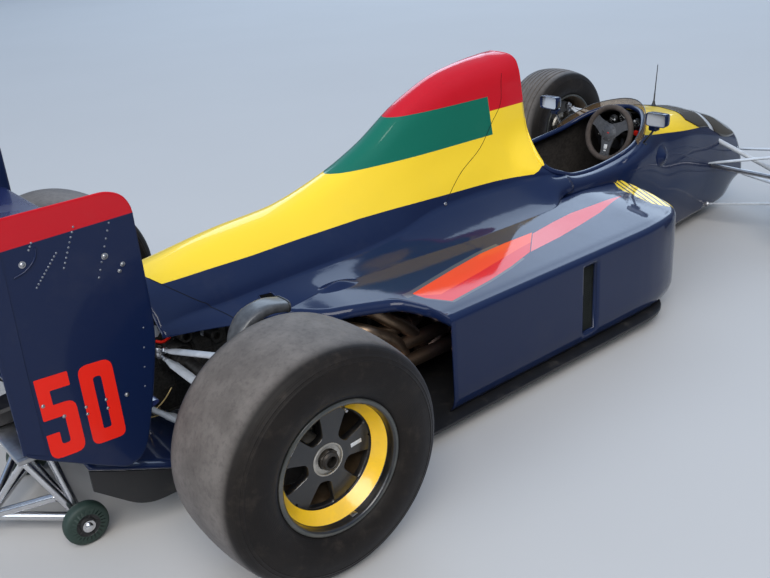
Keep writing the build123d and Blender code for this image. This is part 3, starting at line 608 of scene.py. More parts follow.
# ------------------------------------------------------------------ engine cover
# station, then (half width, height) from the hidden foot over the flare, the crease and the flank to the crest
COVER = [
    (-80, (226, 457), (224, 462), (219, 471), (204, 485), (190, 502), (168, 525), (132, 554.6), (88, 575.8), (55, 585.3), (20, 590)),
    (40, (238, 443), (233, 450), (220, 464), (188, 484), (178, 505), (163, 529), (126, 567), (83, 593), (52, 604), (19, 611)),
    (164, (264, 430), (252, 440), (222, 457), (182, 475), (173, 502), (158, 530), (121, 576.9), (78, 610.6), (48, 625.5), (18, 633)),
    (300, (300, 428), (274, 443), (233, 462), (186, 480), (175, 511), (157, 542), (116, 592), (74, 627), (46, 642), (17, 649)),
    (469, (335, 450), (300, 457), (240, 470), (188, 484), (175, 518), (156, 549), (112, 599.8), (72, 636.5), (45, 652.8), (16, 661)),
    (683, (330, 452), (300, 457.5), (245, 470), (192, 486), (172, 528), (145, 573.5), (100, 638.3), (66, 684.9), (42, 705.6), (15, 716)),
    (868, (335, 451), (300, 459), (240, 475), (183, 496), (160, 545), (128, 609), (90, 693.6), (62, 754.4), (40, 781.5), (14, 795)),
    (1064, (345, 450), (300, 462), (230, 490), (162, 526), (143, 588), (118, 661.8), (86, 775.5), (62, 857.4), (42, 893.8), (14, 912)),
    (1264, (350, 449), (300, 464), (235, 492), (163, 531), (140, 610), (114, 693.7), (87, 825.2), (68, 919.9), (46, 962), (15, 983)),
    (1473, (350, 449), (305, 464), (245, 492), (180, 526), (148, 605), (116, 704.5), (93, 842), (76, 941), (54, 985), (20, 1007)),
    (1560, (335, 451), (305, 468), (262, 500), (205, 536), (162, 606), (116, 706), (94, 845), (80, 943), (58, 987), (24, 1009)),
    (1620, (305, 457), (291, 488), (264, 522), (222, 555), (176, 606), (116, 707), (94, 846), (80, 943), (58, 987), (24, 1009)),
    (1690, (288, 464), (283.5, 490), (263, 514), (236, 526), (190, 590), (116, 707), (94, 846), (80, 943), (58, 987), (24, 1009)),
]
cover_rows = Table([[r[0]] + [v for p in r[1:] for v in p] for r in COVER], 55)
# front edge: (station, half width, height) along the same lines, with the sweep from the crease up to the flank
EDGE = [(1690, 288, 464), (1690, 283.5, 490), (1690, 263, 514), (1690, 236, 526), (1597, 182, 606), (1606, 116, 707), (1603, 94, 846), (1600, 80, 943), (1585, 58, 992),
        (1562, 24, 1009), (1545, 0, 1011)]
SWEEP = [(1690, 236, 526), (1669, 233, 534), (1646, 229, 543), (1626, 223, 553), (1612, 214, 563), (1602, 201, 580), (1597, 182, 606)]
FACE = [(606, 1597), (633, 1597), (687, 1606), (750, 1607), (828, 1604), (885, 1603), (940, 1601), (973, 1598), (990, 1588), (997, 1582), (1004, 1568), (1012, 1540)]


def cover_half(x):
    """(half width, height) up the cover's flank at a station."""
    r = cover_rows.at(x)
    pts = [(r[2 * i], r[2 * i + 1]) for i in range(10)]
    pts.append((0.0, pts[-1][1] + 2.0))
    lo = catmull(pts[:4], 5)
    hi = catmull(pts[3:], 6)
    return [(max(float(p[0]), 0.0), float(p[1])) for p in lo[:-1] + hi]


def face_x(z):
    return float(np.interp(z, [f[0] for f in FACE], [f[1] for f in FACE]))


edge_lo = [tuple(float(c) for c in p) for p in catmull(EDGE[:4], 5)]
edge_hi = [tuple(float(c) for c in p) for p in even(catmull(SWEEP, 6), 7)[:-1]] + [tuple(float(c) for c in p) for p in catmull(EDGE[4:], 6)]
edge_hi = [(face_x(z) if 606 <= z else x, max(w, 0.0), z) for x, w, z in edge_hi]
FRONT = edge_lo[:-1] + edge_hi


def cover_surface():
    rows = []
    for x in np.linspace(-80, 1400, 82):
        rows.append([(x, w, z) for w, z in cover_half(x)])
    for t in np.linspace(0, 1, 19)[1:]:
        row = []
        s = smooth01((t - 0.35) / 0.65)
        for j, e in enumerate(FRONT):
            x = 1400.0 + (e[0] - 1400.0) * t
            w, z = cover_half(x)[j]
            row.append((x, w + (e[1] - w) * s, z + (e[2] - z) * s))
        rows.append(row)
    return rows


CROWS = cover_surface()
b = Bag()
full = [[(x, -w, z) for x, w, z in r] + [(x, w, z) for x, w, z in reversed(r[:-1])] for r in CROWS]
b.grid(full)
b.piece("engine_cover_skin", M["livery"], replaces="engine_cover", slot="cover_paint", angle=62, ref=(700, 0, 500), solid=5, even=False)


def cover_point(x, z, out=0.0):
    """Point on the right flank of the cover at a station and height, set out by a small amount, with its normal."""
    def wz(x):
        c = cover_half(min(max(x, -80.0), 1600.0))
        zs = [p[1] for p in c]
        ws = [p[0] for p in c]
        return float(np.interp(z, zs, ws))
    w = wz(x)
    dwx = (wz(x + 8) - wz(x - 8)) / 16
    c = cover_half(min(max(x, -80.0), 1600.0))
    zs, ws = [p[1] for p in c], [p[0] for p in c]
    dwz = (float(np.interp(z + 5, zs, ws)) - float(np.interp(z - 5, zs, ws))) / 10
    n = V(-dwx, -1.0, -dwz)
    n = n / np.linalg.norm(n)
    return V(x, -w, z) + n * out, n


def ribbon(b, pts, nrm, width, both=True):
    """Thin strip along points on a surface."""
    P = [np.array(p, float) for p in pts]
    L, R = [], []
    for i, p in enumerate(P):
        t = P[min(i + 1, len(P) - 1)] - P[max(i - 1, 0)]
        s = np.cross(t, nrm[i])
        s = s / max(np.linalg.norm(s), 1e-9) * width / 2
        L.append(p - s)
        R.append(p + s)
    b.grid([L, R])
    if both:
        b.grid([[V(p[0], -p[1], p[2]) for p in R], [V(p[0], -p[1], p[2]) for p in L]])


def pod_top(x, y):
    """Height of the pod's top skin at a plan position on the right side (y negative)."""
    a = -y
    z = float(np.interp(a, [287, 300, 400, 500, 625, 670], [457, 457, 443.5, 429, 410, 396]))
    # falls away to the inlet lip at the front
    z -= 17.0 * (1 - smooth01((x - 300) / 170))
    f = smooth01((x - 1700) / 300)
    z -= f * (22 if a < 650 else 22) * 1.0
    return z


SEAM = make_plain("panel_gap", (0.003, 0.003, 0.004), (0.008, 0.008, 0.009), (0.6, 0.8), spec=0.15)
b = Bag()
line = [(1112, 528), (1129, 548), (1218, 622), (1344, 690), (1426, 771), (1482, 832), (1499, 916), (1518, 970), (1528, 1000)]
q = [cover_point(p[0], p[2], 0.5) for p in even(catmull([V(x, 0, z) for x, z in line], 6), 70)]
ribbon(b, [k[0] for k in q], [k[1] for k in q], 2.2)


def skin_point(x, w, out=0.0):
    """Point on the right side of the cover or pod top at a station and half width, with its normal."""
    def h(x, w):
        c = cover_half(x)
        z = float(np.interp(-w, [-p[0] for p in c], [p[1] for p in c])) if w <= c[0][0] else -1.0
        return max(z, pod_top(x, -w)) if x > 335 and w > 302 else z
    n = V(-(h(x + 4, w) - h(x - 4, w)) / 8, (h(x, w + 4) - h(x, w - 4)) / 8, 1.0)
    n = n / np.linalg.norm(n)
    return V(x, -w, h(x, w)) + n * out, n


REARJ = [(-28, 71), (-22, 85), (-16, 96.5), (-9, 108), (0, 120), (10, 132), (20, 141.4), (31, 150), (54, 165), (79, 175), (106, 182.6), (125, 205.5), (143, 232), (152, 250)]
q = [skin_point(p[0], p[1], 0.6) for p in even(catmull(REARJ, 6), 90)]
ribbon(b, [k[0] for k in q], [k[1] for k in q], 2.4)
b.piece("cover_panel_gaps", SEAM, slot="black_composite", angle=60, normals=False)

# square outlet low on the cover's side, drawn as a flat black patch of painted shade in place of a dark opening, a
# swelling over the exhaust, and the seam's small fitting
b = Bag()
R0 = [(264, 204), (308, 214), (311, 252), (262, 243)]
cr = round_poly([(p[0], p[1]) for p in R0], 6, 4)
q = [skin_point(x, w, 0.8) for x, w in cr]
for sg in (1, -1):
    b.add([(k[0][0], k[0][1] * sg, k[0][2]) for k in q], [tuple(range(len(q)))])
# painted shade: a flat near-black sheet on the skin in place of the shaded inside of an opening
b.piece("cover_outlet_shade_patches", make_plain("outlet_painted_shade", (0.002, 0.002, 0.002), (0.004, 0.004, 0.004), (0.8, 0.95), spec=0.05), slot="black_composite", angle=60, normals=False)
b = Bag()
for sg in (1, -1):
    b.tube([(k[0][0], k[0][1] * sg, k[0][2]) for k in q + q[:1]], 2.4, 8, caps=False)
b.piece("cover_outlet_rims", M["navy"], slot="navy_paint", angle=60)
b = Bag()
for sg in (1, -1):
    rows = []
    for r_ in np.linspace(0, 1, 12):
        row = []
        for k in range(48):
            t = 2 * math.pi * k / 48
            dx, dw = 84 * r_ * math.cos(t), 34 * r_ * math.sin(t)
            p, n = skin_point(502 + dx, 308 + dw + dx * 0.10, 17 * (1 - smooth01(r_)) - 0.6)
            row.append((p[0], p[1] * sg, p[2]))
        rows.append(row)
    b.grid(rows, wrap_v=True)
b.piece("cover_swellings", M["navy"], slot="navy_paint", angle=60)
b = Bag()
for sg in (1, -1):
    p, n = cover_point(1118, 537, 0.0)
    b.rev((p[0], p[1] * sg, p[2]), (n[0], n[1] * sg, n[2]), [(0, 6.5), (1.5, 6.5), (2.5, 5.0), (2.5, 3.0), (1.2, 2.6), (1.2, 0)], 20)
b.piece("cover_fasteners", M["steel"], slot="steel", angle=40)

# air box: inlet duct, lip and the bulkhead behind the driver
upper = [p for p in FRONT if p[2] > 818]
b = Bag()
ring = [(p[0] - 3, -p[1] + (3 if p[1] > 3 else 0), p[2] - 3) for p in upper] + [(p[0] - 3, p[1] - 3, p[2] - 3) for p in reversed(upper[:-1])]
low = [(ring[-1][0], y, 815.0) for y in np.linspace(ring[-1][1], ring[0][1], 9)[1:-1]]
loop = even(ring + low + [ring[0]], 97)[:-1]
rows = []
cx = np.mean(np.array(loop), axis=0)
for t, k, dx, dz in ((0, 1.0, 0, 0), (0.2, 0.965, -14, -2), (0.5, 0.93, -60, -12), (0.8, 0.86, -160, -50), (1, 0.78, -300, -130)):
    rows.append([(p[0] + dx, p[1] * k, cx[2] + (p[2] - cx[2]) * k + dz) for p in loop])
b.grid(rows, wrap_v=True)
b.fan(rows[-1])
b.piece("airbox_duct", M["black"], slot="black_composite", angle=60)
b = Bag()
b.tube([*loop, loop[0]], 5.0, 10, caps=False)
b.piece("airbox_lip", M["livery"], slot="cover_paint", angle=60)
b = Bag()
rows = []
for z in list(np.linspace(420, 606, 9)) + list(np.linspace(620, 826, 12)):
    hz = cover_half(1584.0)
    w = min(200.0, float(np.interp(z, [p[1] for p in hz], [p[0] for p in hz]))) - 9 if z <= 606 else float(np.interp(z, [p[2] for p in FRONT if p[2] >= 606], [p[1] for p in FRONT if p[2] >= 606])) - 4
    x0 = 1584.0 if z <= 606 else face_x(z) - 14
    rows.append([(x0 - 9 * math.cos(math.pi * y / (2 * w)), y, z) for y in np.linspace(-w, w, 21)])
b.grid(rows)
b.piece("cockpit_rear_bulkhead", M["black"], slot="black_composite", angle=60)

# ------------------------------------------------------------------ tub
TUBR = [
    (1560, 57, 280, 300, 285, 485, 285, 512, 262, 516),
    (2000, 57, 275, 300, 282, 475, 283, 503, 258, 512),
    (2240, 57, 250, 300, 262, 500, 252, 545, 215, 560),
    (2418, 57, 226, 300, 244, 530, 215, 590, 165, 618),
    (2500, 57, 215, 300, 236, 515, 215, 583, 160, 604),
    (2727, 57, 190, 290, 212, 478, 186, 545, 112, 566),
    (2860, 58, 178, 265, 202, 440, 170, 505, 98, 522),
    (2980, 60, 165, 240, 190, 400, 152, 464, 86, 480),
    (3120, 98, 132, 186, 173, 352, 128, 398, 68, 408),
]
tub_rows = Table(TUBR, 60)
PLAN = [(1600, 190), (1625, 225), (1700, 236), (1950, 234), (2060, 228), (2120, 222), (2180, 210), (2240, 192), (2300, 162), (2350, 125), (2390, 80), (2415, 30)]
PLAN_C = even(catmull([(1598, 0), (1598, 120)] + PLAN[0:] + [(2421, 0)], 10), 160)


def tub_curve(x, inset=0.0):
    zb, wb, zm, wm, zs, ws, ze, we, zc = tub_rows.at(x)
    if x < 1688:
        # the tub draws in under the engine cover
        k = smooth01((1688 - x) / 60)
        ws, we, ze, zc = ws * (1 - 0.15 * k), we * (1 - 0.17 * k), ze - 26 * k, zc - 22 * k
    pts = [(wb - inset, zb + 26 + inset * 0.6), (wm - inset, zm), (ws - inset, zs - inset * 0.3), (we - inset * 0.7, ze - inset * 0.7), (we * 0.5, ze + (zc - ze) * 0.72 - inset), (0.0, zc - inset)]
    pts.insert(1, ((pts[0][0] + pts[1][0]) / 2 + 4, (pts[0][1] + pts[1][1]) / 2))
    c = catmull([(wb - 26 - inset, zb + inset), (wb - 8 - inset, zb + 7 + inset)] + pts, 9)
    return [(0.0, zb + inset)] + [(max(float(p[0]), 0.0), float(p[1])) for p in c]


def cut_curve(c, ycut, n):
    """The part of a half section from the keel up to half width ycut on the deck, and the height there."""
    top = max(range(len(c)), key=lambda i: c[i][0])
    for i in range(top, len(c) - 1):
        if c[i + 1][0] <= ycut <= c[i][0]:
            t = (c[i][0] - ycut) / max(c[i][0] - c[i + 1][0], 1e-6)
            z = c[i][1] + t * (c[i + 1][1] - c[i][1])
            return even(c[:i + 1] + [(ycut, z)], n), z, even([(ycut, z)] + c[i + 1:], 12)
    return even(c, n), c[-1][1], [(0.0, c[-1][1])] * 12


def ycut_at(x):
    if x <= 1600:
        return 190.0
    if x >= 2415:
        return 30.0
    return float(np.interp(x, [p[0] for p in PLAN], [p[1] for p in PLAN]))


def smooth_plan():
    c = catmull([(1590, 150)] + PLAN + [(2422, 0)], 12)
    c = [p for p in c if 1600 <= p[0] <= 2415]
    return [float(p[0]) for p in c], [float(p[1]) for p in c]


PX, PY = smooth_plan()


def ycut_smooth(x):
    if x <= 1600:
        return 190.0
    if x >= 2415:
        return 30.0
    return float(np.interp(x, PX, PY))


RIMZ = [(1600, 575), (1612, 562), (1630, 550), (1646, 543), (1669, 534), (1690, 525), (1720, 514), (1753, 507), (1847, 501), (2000, 509), (2060, 516), (2120, 524), (2180, 536),
        (2240, 556), (2300, 584), (2350, 604), (2390, 616), (2415, 620)]
rim_z = pchip([p[0] for p in RIMZ], [p[1] for p in RIMZ])


def lift_edge(side, x, inset):
    """Raises the deck's last stretch so that it ends at the cockpit rim's height."""
    if not 1655 <= x <= 2415:
        return side
    top = max(range(len(side)), key=lambda i: side[i][0])
    w0, w1 = side[top][0], side[-1][0]
    dz = (float(rim_z(x)) - inset - side[-1][1]) * smooth01((x - 1655) / 30)
    return [p if i <= top else (p[0], p[1] + dz * smooth01((w0 - p[0]) / max(w0 - w1, 1.0))) for i, p in enumerate(side)]


TXS = sorted(set(list(np.linspace(1560, 1600, 4)) + list(np.linspace(1600, 1640, 9)) + list(np.linspace(1640, 2200, 36)) + list(np.linspace(2200, 2340, 16))
                 + list(np.linspace(2340, 2415, 22)) + list(np.linspace(2415, 3120, 54))))


def tub_skin(inset, name, mat, slot, replaces=(), ref=None, x1=3120.0):
    b = Bag()
    rows, rear, front = [], [], []
    for x in [x for x in TXS if x <= x1 + 1e-6]:
        c = tub_curve(x, inset)
        side, z, deck = cut_curve(c, ycut_smooth(x), 60)
        side = lift_edge([(float(p[0]), float(p[1])) for p in side], x, inset)
        rows.append([(x, p[0], p[1]) for p in side])
        if x <= 1600:
            rear.append([(x, p[0], p[1]) for p in deck])
        if x >= 2415:
            front.append([(x, p[0], p[1]) for p in deck])
    b.grid(rows)
    b.grid(rear)
    b.grid(front)
    b.mirror()
    return b.piece(name, mat, replaces=replaces, slot=slot, angle=42, merge=0.05, solid=None if inset else 7, ref=(2300, 0, 300) if not inset else None), rows


TUBOB, TROWS = tub_skin(0.0, "tub_skin", M["tub"], "navy_paint", replaces="tub")
inner, _ = tub_skin(20.0, "tub_liner", make_plain("liner_felt", (0.020, 0.0175, 0.016), (0.040, 0.035, 0.031), (0.7, 0.9), scale=90, spec=0.2), "black_composite")

# rolled rim round the cockpit opening, running up the front edge of the engine cover
edge = [(x, ycut_smooth(x), float(rim_z(x))) for x in TXS if 1700 <= x <= 2415]
up = [(p[0], p[1], p[2]) for p in reversed([q for q in FRONT[15:] if q[2] <= 760])]
half_path = even(catmull(even(up + edge, 60), 4), 150)
rim_r = [V(p[0], -p[1] + 2, p[2] - 1) for p in half_path]
rim_l = [V(p[0], p[1] - 2, p[2] - 1) for p in half_path]
nose = even(catmull([rim_r[-2], rim_r[-1], V(2421, 0, 620), rim_l[-1], rim_l[-2]], 6)[6:19], 11)[1:-1]
path = rim_r + nose + rim_l[::-1]
b = Bag()
sec = [(math.cos(a), math.sin(a)) for a in np.linspace(0, 2 * math.pi, 17)[:-1]]
b.sweep(path, sec, scale=[2.6 + 8.6 * smooth01((720 - p[2]) / 150.0) if p[0] < 1660 else 11.2 for p in path])
b.piece("cockpit_rim", M["livery"], slot="navy_paint", angle=60)

# lacquered hatch over the front of the deck, in two panels with a pale joint strip between them
HZ = pchip([2603, 2649, 2704, 2793, 2829, 2866, 2915, 3005, 3071, 3112], [545.5, 520, 491, 472, 450, 430, 402, 377, 368, 364])


def deck_panel(name, x0, x1, n, mat, out, slot):
    b = Bag()
    rows = []
    for x in np.linspace(x0, x1, n):
        c = tub_curve(x)
        top = max(range(len(c)), key=lambda i: c[i][0])
        ys, zs = [q[0] for q in c[top:]], [q[1] for q in c[top:]]
        zb = float(HZ(x))
        i = next(k for k in range(len(zs)) if zs[k] >= zb)
        t = (zb - zs[i - 1]) / max(zs[i] - zs[i - 1], 1e-6) if i else 0.0
        line = [(ys[i - 1] + (ys[i] - ys[i - 1]) * t, zb)] if i else []
        line = even([V(x, q[0], q[1]) for q in line + list(zip(ys[i:], zs[i:]))], 22)
        row = []
        for k, q in enumerate(line):
            d = np.array(line[min(k + 1, 21)]) - np.array(line[max(k - 1, 0)])
            nn = V(0, d[2], -d[1])
            nn = nn / max(np.linalg.norm(nn), 1e-9)
            row.append((q[0] - 14.0 * (k / 21.0) ** 2 * 0.0, q[1] + nn[1] * out, q[2] + nn[2] * out))
        rows.append(row)
    full = [[(q[0], -q[1], q[2]) for q in r] + [(q[0], q[1], q[2]) for q in reversed(r[:-1])] for r in rows]
    b.grid(full)
    b.piece(name, mat, slot=slot, angle=50, ref=(x0, 0, 300), solid=2.0, even=False)


deck_panel("deck_hatch_rear", 2604, 2806, 22, M["hatch"], 2.6, "navy_paint")
deck_panel("deck_hatch_joint", 2808, 2844, 5, M["grey"], 1.4, "navy_paint")
deck_panel("deck_hatch_front", 2846, 3112, 28, M["hatch"], 2.6, "navy_paint")

# round blisters over the rocker mountings on the tub's flanks
b = Bag()
for sg in (-1, 1):
    def flank(x, z):
        c = tub_curve(x)
        top = max(range(len(c)), key=lambda i: c[i][0])
        return max(float(np.interp(z, [q[1] for q in c[2:top + 1]], [q[0] for q in c[2:top + 1]])) if z <= c[top][1]
                   else float(np.interp(z, [q[1] for q in c[top:]], [q[0] for q in c[top:]])), 10.0)
    rows = []
    for r_ in np.linspace(0.0, 1.0, 13):
        row = []
        for k in range(40):
            t = 2 * math.pi * k / 40
            x, z = 2330 + 60 * r_ * math.cos(t), 452 + 54 * r_ * math.sin(t)
            h = 25 * (1 - smooth01(r_) ** 1.1) - 1.0
            row.append((x, sg * (flank(x, z) + h), z))
        rows.append(row)
    b.grid(rows, wrap_v=True)
b.piece("tub_blisters", M["navy"], slot="navy_paint", angle=60)

# forward bulkhead: recessed plate, four nose fixings and three master cylinder feet
b = Bag()
c = tub_curve(3120)
ring = [(3116, -p[0] * 0.97, 250 + (p[1] - 250) * 0.97) for p in even(c, 50)]
ring += [(3116, -p[1], p[2]) for p in reversed(ring[1:-1])]
b.fan(ring)
b.piece("front_bulkhead", M["alu"], slot="aluminium", angle=30)
b = Bag()
for sy in (-1, 1):
    for z in (190, 300):
        b.rev((3112, sy * 75, z), (1, 0, 0), [(0, 5), (0, 16), (10, 16), (12, 14), (12, 5), (0, 5)], 24)
for y, z in ((-45, 330), (0, 330), (45, 330)):
    b.cyl((3112, y, z), (3128, y, z), 11, 20, 2)
    b.hexa((3128, y, z), (1, 0, 0), 8, 5)
b.piece("bulkhead_fittings", M["steel"], slot="steel", angle=35)

# ------------------------------------------------------------------ side pods
PODP = [(300, -302), (324, -343), (388, -414), (444, -443), (535, -479), (591, -509), (640, -590), (660, -670),
        (1650, -670), (1790, -655), (1890, -622), (1950, -575), (1985, -430), (1998, -340), (2000, -287)]


POUT = []
pc = catmull(PODP[:7], 10)
pc2 = catmull([(640, -590), (652, -640), (660, -670)], 6)
side_x = sorted(set([660.0, 1285.0, 1360.0] + [float(v) for v in np.linspace(660, 1620, 49)]))
pc3 = [(x, -670.0) for x in side_x]
pc4 = catmull([(1620, -670), (1700, -667), (1790, -655), (1890, -622), (1944, -578), (1972, -500), (1988, -420), (1998, -340), (2000, -287)], 12)
for part in (pc[:-1], pc2[:-1], pc3[:-1], pc4):
    POUT += [(float(p[0]), float(p[1])) for p in part]
NO = len(POUT)
dd = np.r_[0, np.cumsum([math.hypot(POUT[i + 1][0] - POUT[i][0], POUT[i + 1][1] - POUT[i][1]) for i in range(NO - 1)])]
PIN = []
for i, p in enumerate(POUT):
    # inner edge point that each outline point is joined to
    x = p[0]
    if x < 660:
        xi = 335 + (x - 300) * (690 - 335) / 360
    elif x < 1620:
        xi = 690 + (x - 660) * (1600 - 690) / 960
    else:
        s = (dd[i] - dd[next(k for k, q in enumerate(POUT) if q[0] >= 1620)]) / (dd[-1] - dd[next(k for k, q in enumerate(POUT) if q[0] >= 1620)])
        xi = 1600 + s * 365
    PIN.append((xi, -302.0 if xi < 1560 else float(np.interp(xi, [1560, 1600], [-302, -290]))))
PR = 26.0
rows = []
for i, (po, pi_) in enumerate(zip(POUT, PIN)):
    L = math.hypot(pi_[0] - po[0], pi_[1] - po[1])
    ux, uy = (pi_[0] - po[0]) / max(L, 1), (pi_[1] - po[1]) / max(L, 1)
    R = min(PR, L * 0.45)
    row = []
    for k in range(9):
        a = k / 8 * math.pi / 2
        d = R * (1 - math.cos(a))
        x, y = po[0] + ux * d, po[1] + uy * d
        zt = pod_top(po[0] + ux * R, po[1] + uy * R)
        row.append((x, y, zt - R * (1 - math.sin(a))))
    for t in np.linspace(0, 1, 30)[1:]:
        d = R + (L - R) * t
        x, y = po[0] + ux * d, po[1] + uy * d
        row.append((x, y, pod_top(x, y)))
    rows.append(row)
WZ = [57, 80, 108, 150, 200, 250, 300, 340, 368]
iw0 = next(k for k, q in enumerate(POUT) if q[0] >= 660)
iw1 = next(k for k, q in enumerate(POUT) if q[0] >= 1944)
i0, i1 = next(k for k, q in enumerate(POUT) if q[0] >= 1285), next(k for k, q in enumerate(POUT) if q[0] >= 1360)


def wall_point(i, z):
    x, y = POUT[i]
    # the foot of the wall tucks in towards the floor
    t = smooth01((95 - z) / 38)
    return (x, y + 22 * t, z)


b = Bag()
b.grid(rows)
topz = [r[0][2] for r in rows]
skirt = [[(POUT[i][0], POUT[i][1], topz[i]), (POUT[i][0], POUT[i][1], max(topz[i] - 22, 368) if iw0 <= i <= iw1 else topz[i] - 10)] for i in range(NO)]
for i in range(NO - 1):
    zi = [topz[i], topz[i + 1]]
    inw = iw0 <= i and i + 1 <= iw1
    if inw:
        lv = [57, 80, 108, 150, 200, 250, 300, 340, 368]
        colA = [wall_point(i, z) for z in lv] + [(POUT[i][0], POUT[i][1], zi[0])]
        colB = [wall_point(i + 1, z) for z in lv] + [(POUT[i + 1][0], POUT[i + 1][1], zi[1])]
        for k in range(len(colA) - 1):
            if i0 <= i < i1 and 108 <= lv[k] < 368 and k < 8:
                continue
            b.add([colA[k], colB[k], colB[k + 1], colA[k + 1]], [(0, 1, 2, 3)])
    else:
        b.add([(POUT[i][0], POUT[i][1], zi[0] - 9), (POUT[i + 1][0], POUT[i + 1][1], zi[1] - 9), (POUT[i + 1][0], POUT[i + 1][1], zi[1]), (POUT[i][0], POUT[i][1], zi[0])], [(0, 1, 2, 3)])
PODBAG = (list(b.v), list(b.f))
SLOTM = make_plain("louvre_black", (0.010, 0.012, 0.010), (0.020, 0.023, 0.020), (0.35, 0.5), scale=90)
for nm, sg in (("right", 1), ("left", -1)):
    c = Bag()
    c.v = [(x, y * sg, z) for x, y, z in PODBAG[0]]
    c.f = [f if sg == 1 else tuple(reversed(f)) for f in PODBAG[1]]
    c.m = [0] * len(c.f)
    c.piece("sidepod_skin_" + nm, M["pod"], replaces="sidepod_" + nm, slot="navy_paint", angle=48, merge=0.05, ref=(1200, -480 * sg, 200), solid=5, even=False)
    # rolled inlet lip
    c = Bag()
    lip = [(POUT[i][0] - 8, POUT[i][1] * sg + 8 * sg, topz[i] - 9) for i in range(iw1, NO)]
    down = [(POUT[iw1][0] - 8, (POUT[iw1][1] + 8) * sg, z) for z in np.linspace(70, topz[iw1] - 12, 12)]
    c.tube(even(down + lip, 70), 9.0, 12)
    c.piece("pod_inlet_lip_" + nm, M["navy"], slot="navy_paint", angle=60)
    # dark louvres filling the side slot
    c = Bag()
    for z in np.arange(112, 366, 7.5):
        c.box((1322.5, -650 * sg, z + 2), (76, 9, 2.6), axes=[(1, 0, 0), (0, 0.94, 0.34 * sg), (0, -0.34 * sg, 0.94)])
    c.box((1322.5, -640 * sg, 238), (78, 2, 262))
    for x in (1298, 1347):
        c.box((x, -648 * sg, 238), (3, 10, 260))
    c.piece("pod_slot_louvres_" + nm, SLOTM, slot="black_composite", angle=30)
    # frame of the side slot, set in behind the skin
    c = Bag()
    y0 = -670 * sg
    for a, e in (((1285, 108), (1285, 368)), ((1360, 108), (1360, 368)), ((1285, 108), (1360, 108)), ((1285, 368), (1360, 368))):
        c.add([(a[0], y0 + 2 * sg, a[1]), (e[0], y0 + 2 * sg, e[1]), (e[0], y0 + 30 * sg, e[1]), (a[0], y0 + 30 * sg, a[1])], [(0, 1, 2, 3)])
    c.piece("pod_slot_frame_" + nm, M["navy"], slot="navy_paint", angle=30, solid=3, offset=0.0)
# ------------------------------------------------------------------ wheels
def wheel_frame(m, x0, z0):
    """Radius and turn about a wheel's axis, from the position."""
    dx, dz = m.x - x0, m.z - z0
    r = (dx * dx + dz * dz).sqrt()
    n = m.nt.nodes.new("ShaderNodeMath")
    n.operation = "ARCTAN2"
    m.nt.links.new(dz.s, n.inputs[0])
    m.nt.links.new(dx.s, n.inputs[1])
    return r, S(m.nt, n.outputs[0])


def tyre_material(name, x0, z0, rear):
    m = Mat(name, IOR=1.45)
    r, a = wheel_frame(m, x0, z0)
    R = 330.0 if rear else 310.0
    tread = r.step(R - 16, R - 5)
    n1, n2 = m.noise(7, 5, 0.65), m.noise(70, 4, 0.6)
    n3 = m.noise(22, 4, 0.7)
    side = m.mix(n1.step(0.35, 0.7), (0.0075, 0.0058, 0.0046), (0.0125, 0.0098, 0.0078))
    side = m.mix((n3.step(0.5, 0.8)) * 0.25, side, (0.07, 0.055, 0.042))
    face = m.mix(n1.step(0.3, 0.72), (0.098, 0.086, 0.076), (0.165, 0.146, 0.130))
    face = m.mix(n2.step(0.45, 0.75) * 0.35, face, (0.045, 0.040, 0.036))
    face = m.mix(n3.step(0.55, 0.8) * 0.35, face, (0.19, 0.168, 0.145))
    m.color(m.mix(tread, side, face))
    m.rough(0.46 + n2 * 0.12 + tread * 0.10 + n1 * 0.08)
    m.b.inputs["Specular IOR Level"].default_value = 0.2
    m.b.inputs["Sheen Weight"].default_value = 0.05
    m.b.inputs["Sheen Roughness"].default_value = 0.5
    m.b.inputs["Sheen Tint"].default_value = (0.75, 0.82, 1.0, 1)
    # fine rings of the mould on the sidewall, scuffed grain on the tread
    rings = (r * 1.55).sin() * 0.5 + 0.5
    grain = m.noise(210, 4, 0.7)
    m.bump(rings * (1.0 - tread) * 0.35 + grain * 0.8 + n3 * tread * 1.2, 0.0006, 0.55)
    return m.m


def rim_material(name, x0, z0, colour, dust, dirt=0.35, coat=0.6):
    m = Mat(name)
    r, a = wheel_frame(m, x0, z0)
    n1, n2 = m.noise(16, 5, 0.65), m.noise(90, 4, 0.6)
    c = m.mix(n1.step(0.4, 0.75) * dirt, colour, dust)
    c = m.mix(n2.step(0.6, 0.85) * dirt * 0.6, c, dust)
    m.color(c)
    m.rough(0.24 + n1 * 0.22)
    m.b.inputs["Coat Weight"].default_value = coat
    m.b.inputs["Coat Roughness"].default_value = 0.12
    m.bump(n2, 0.0002, 0.5)
    return m.m


def profile(pts, n=6):
    return [(float(p[0]), float(p[1])) for p in catmull(pts, n)]


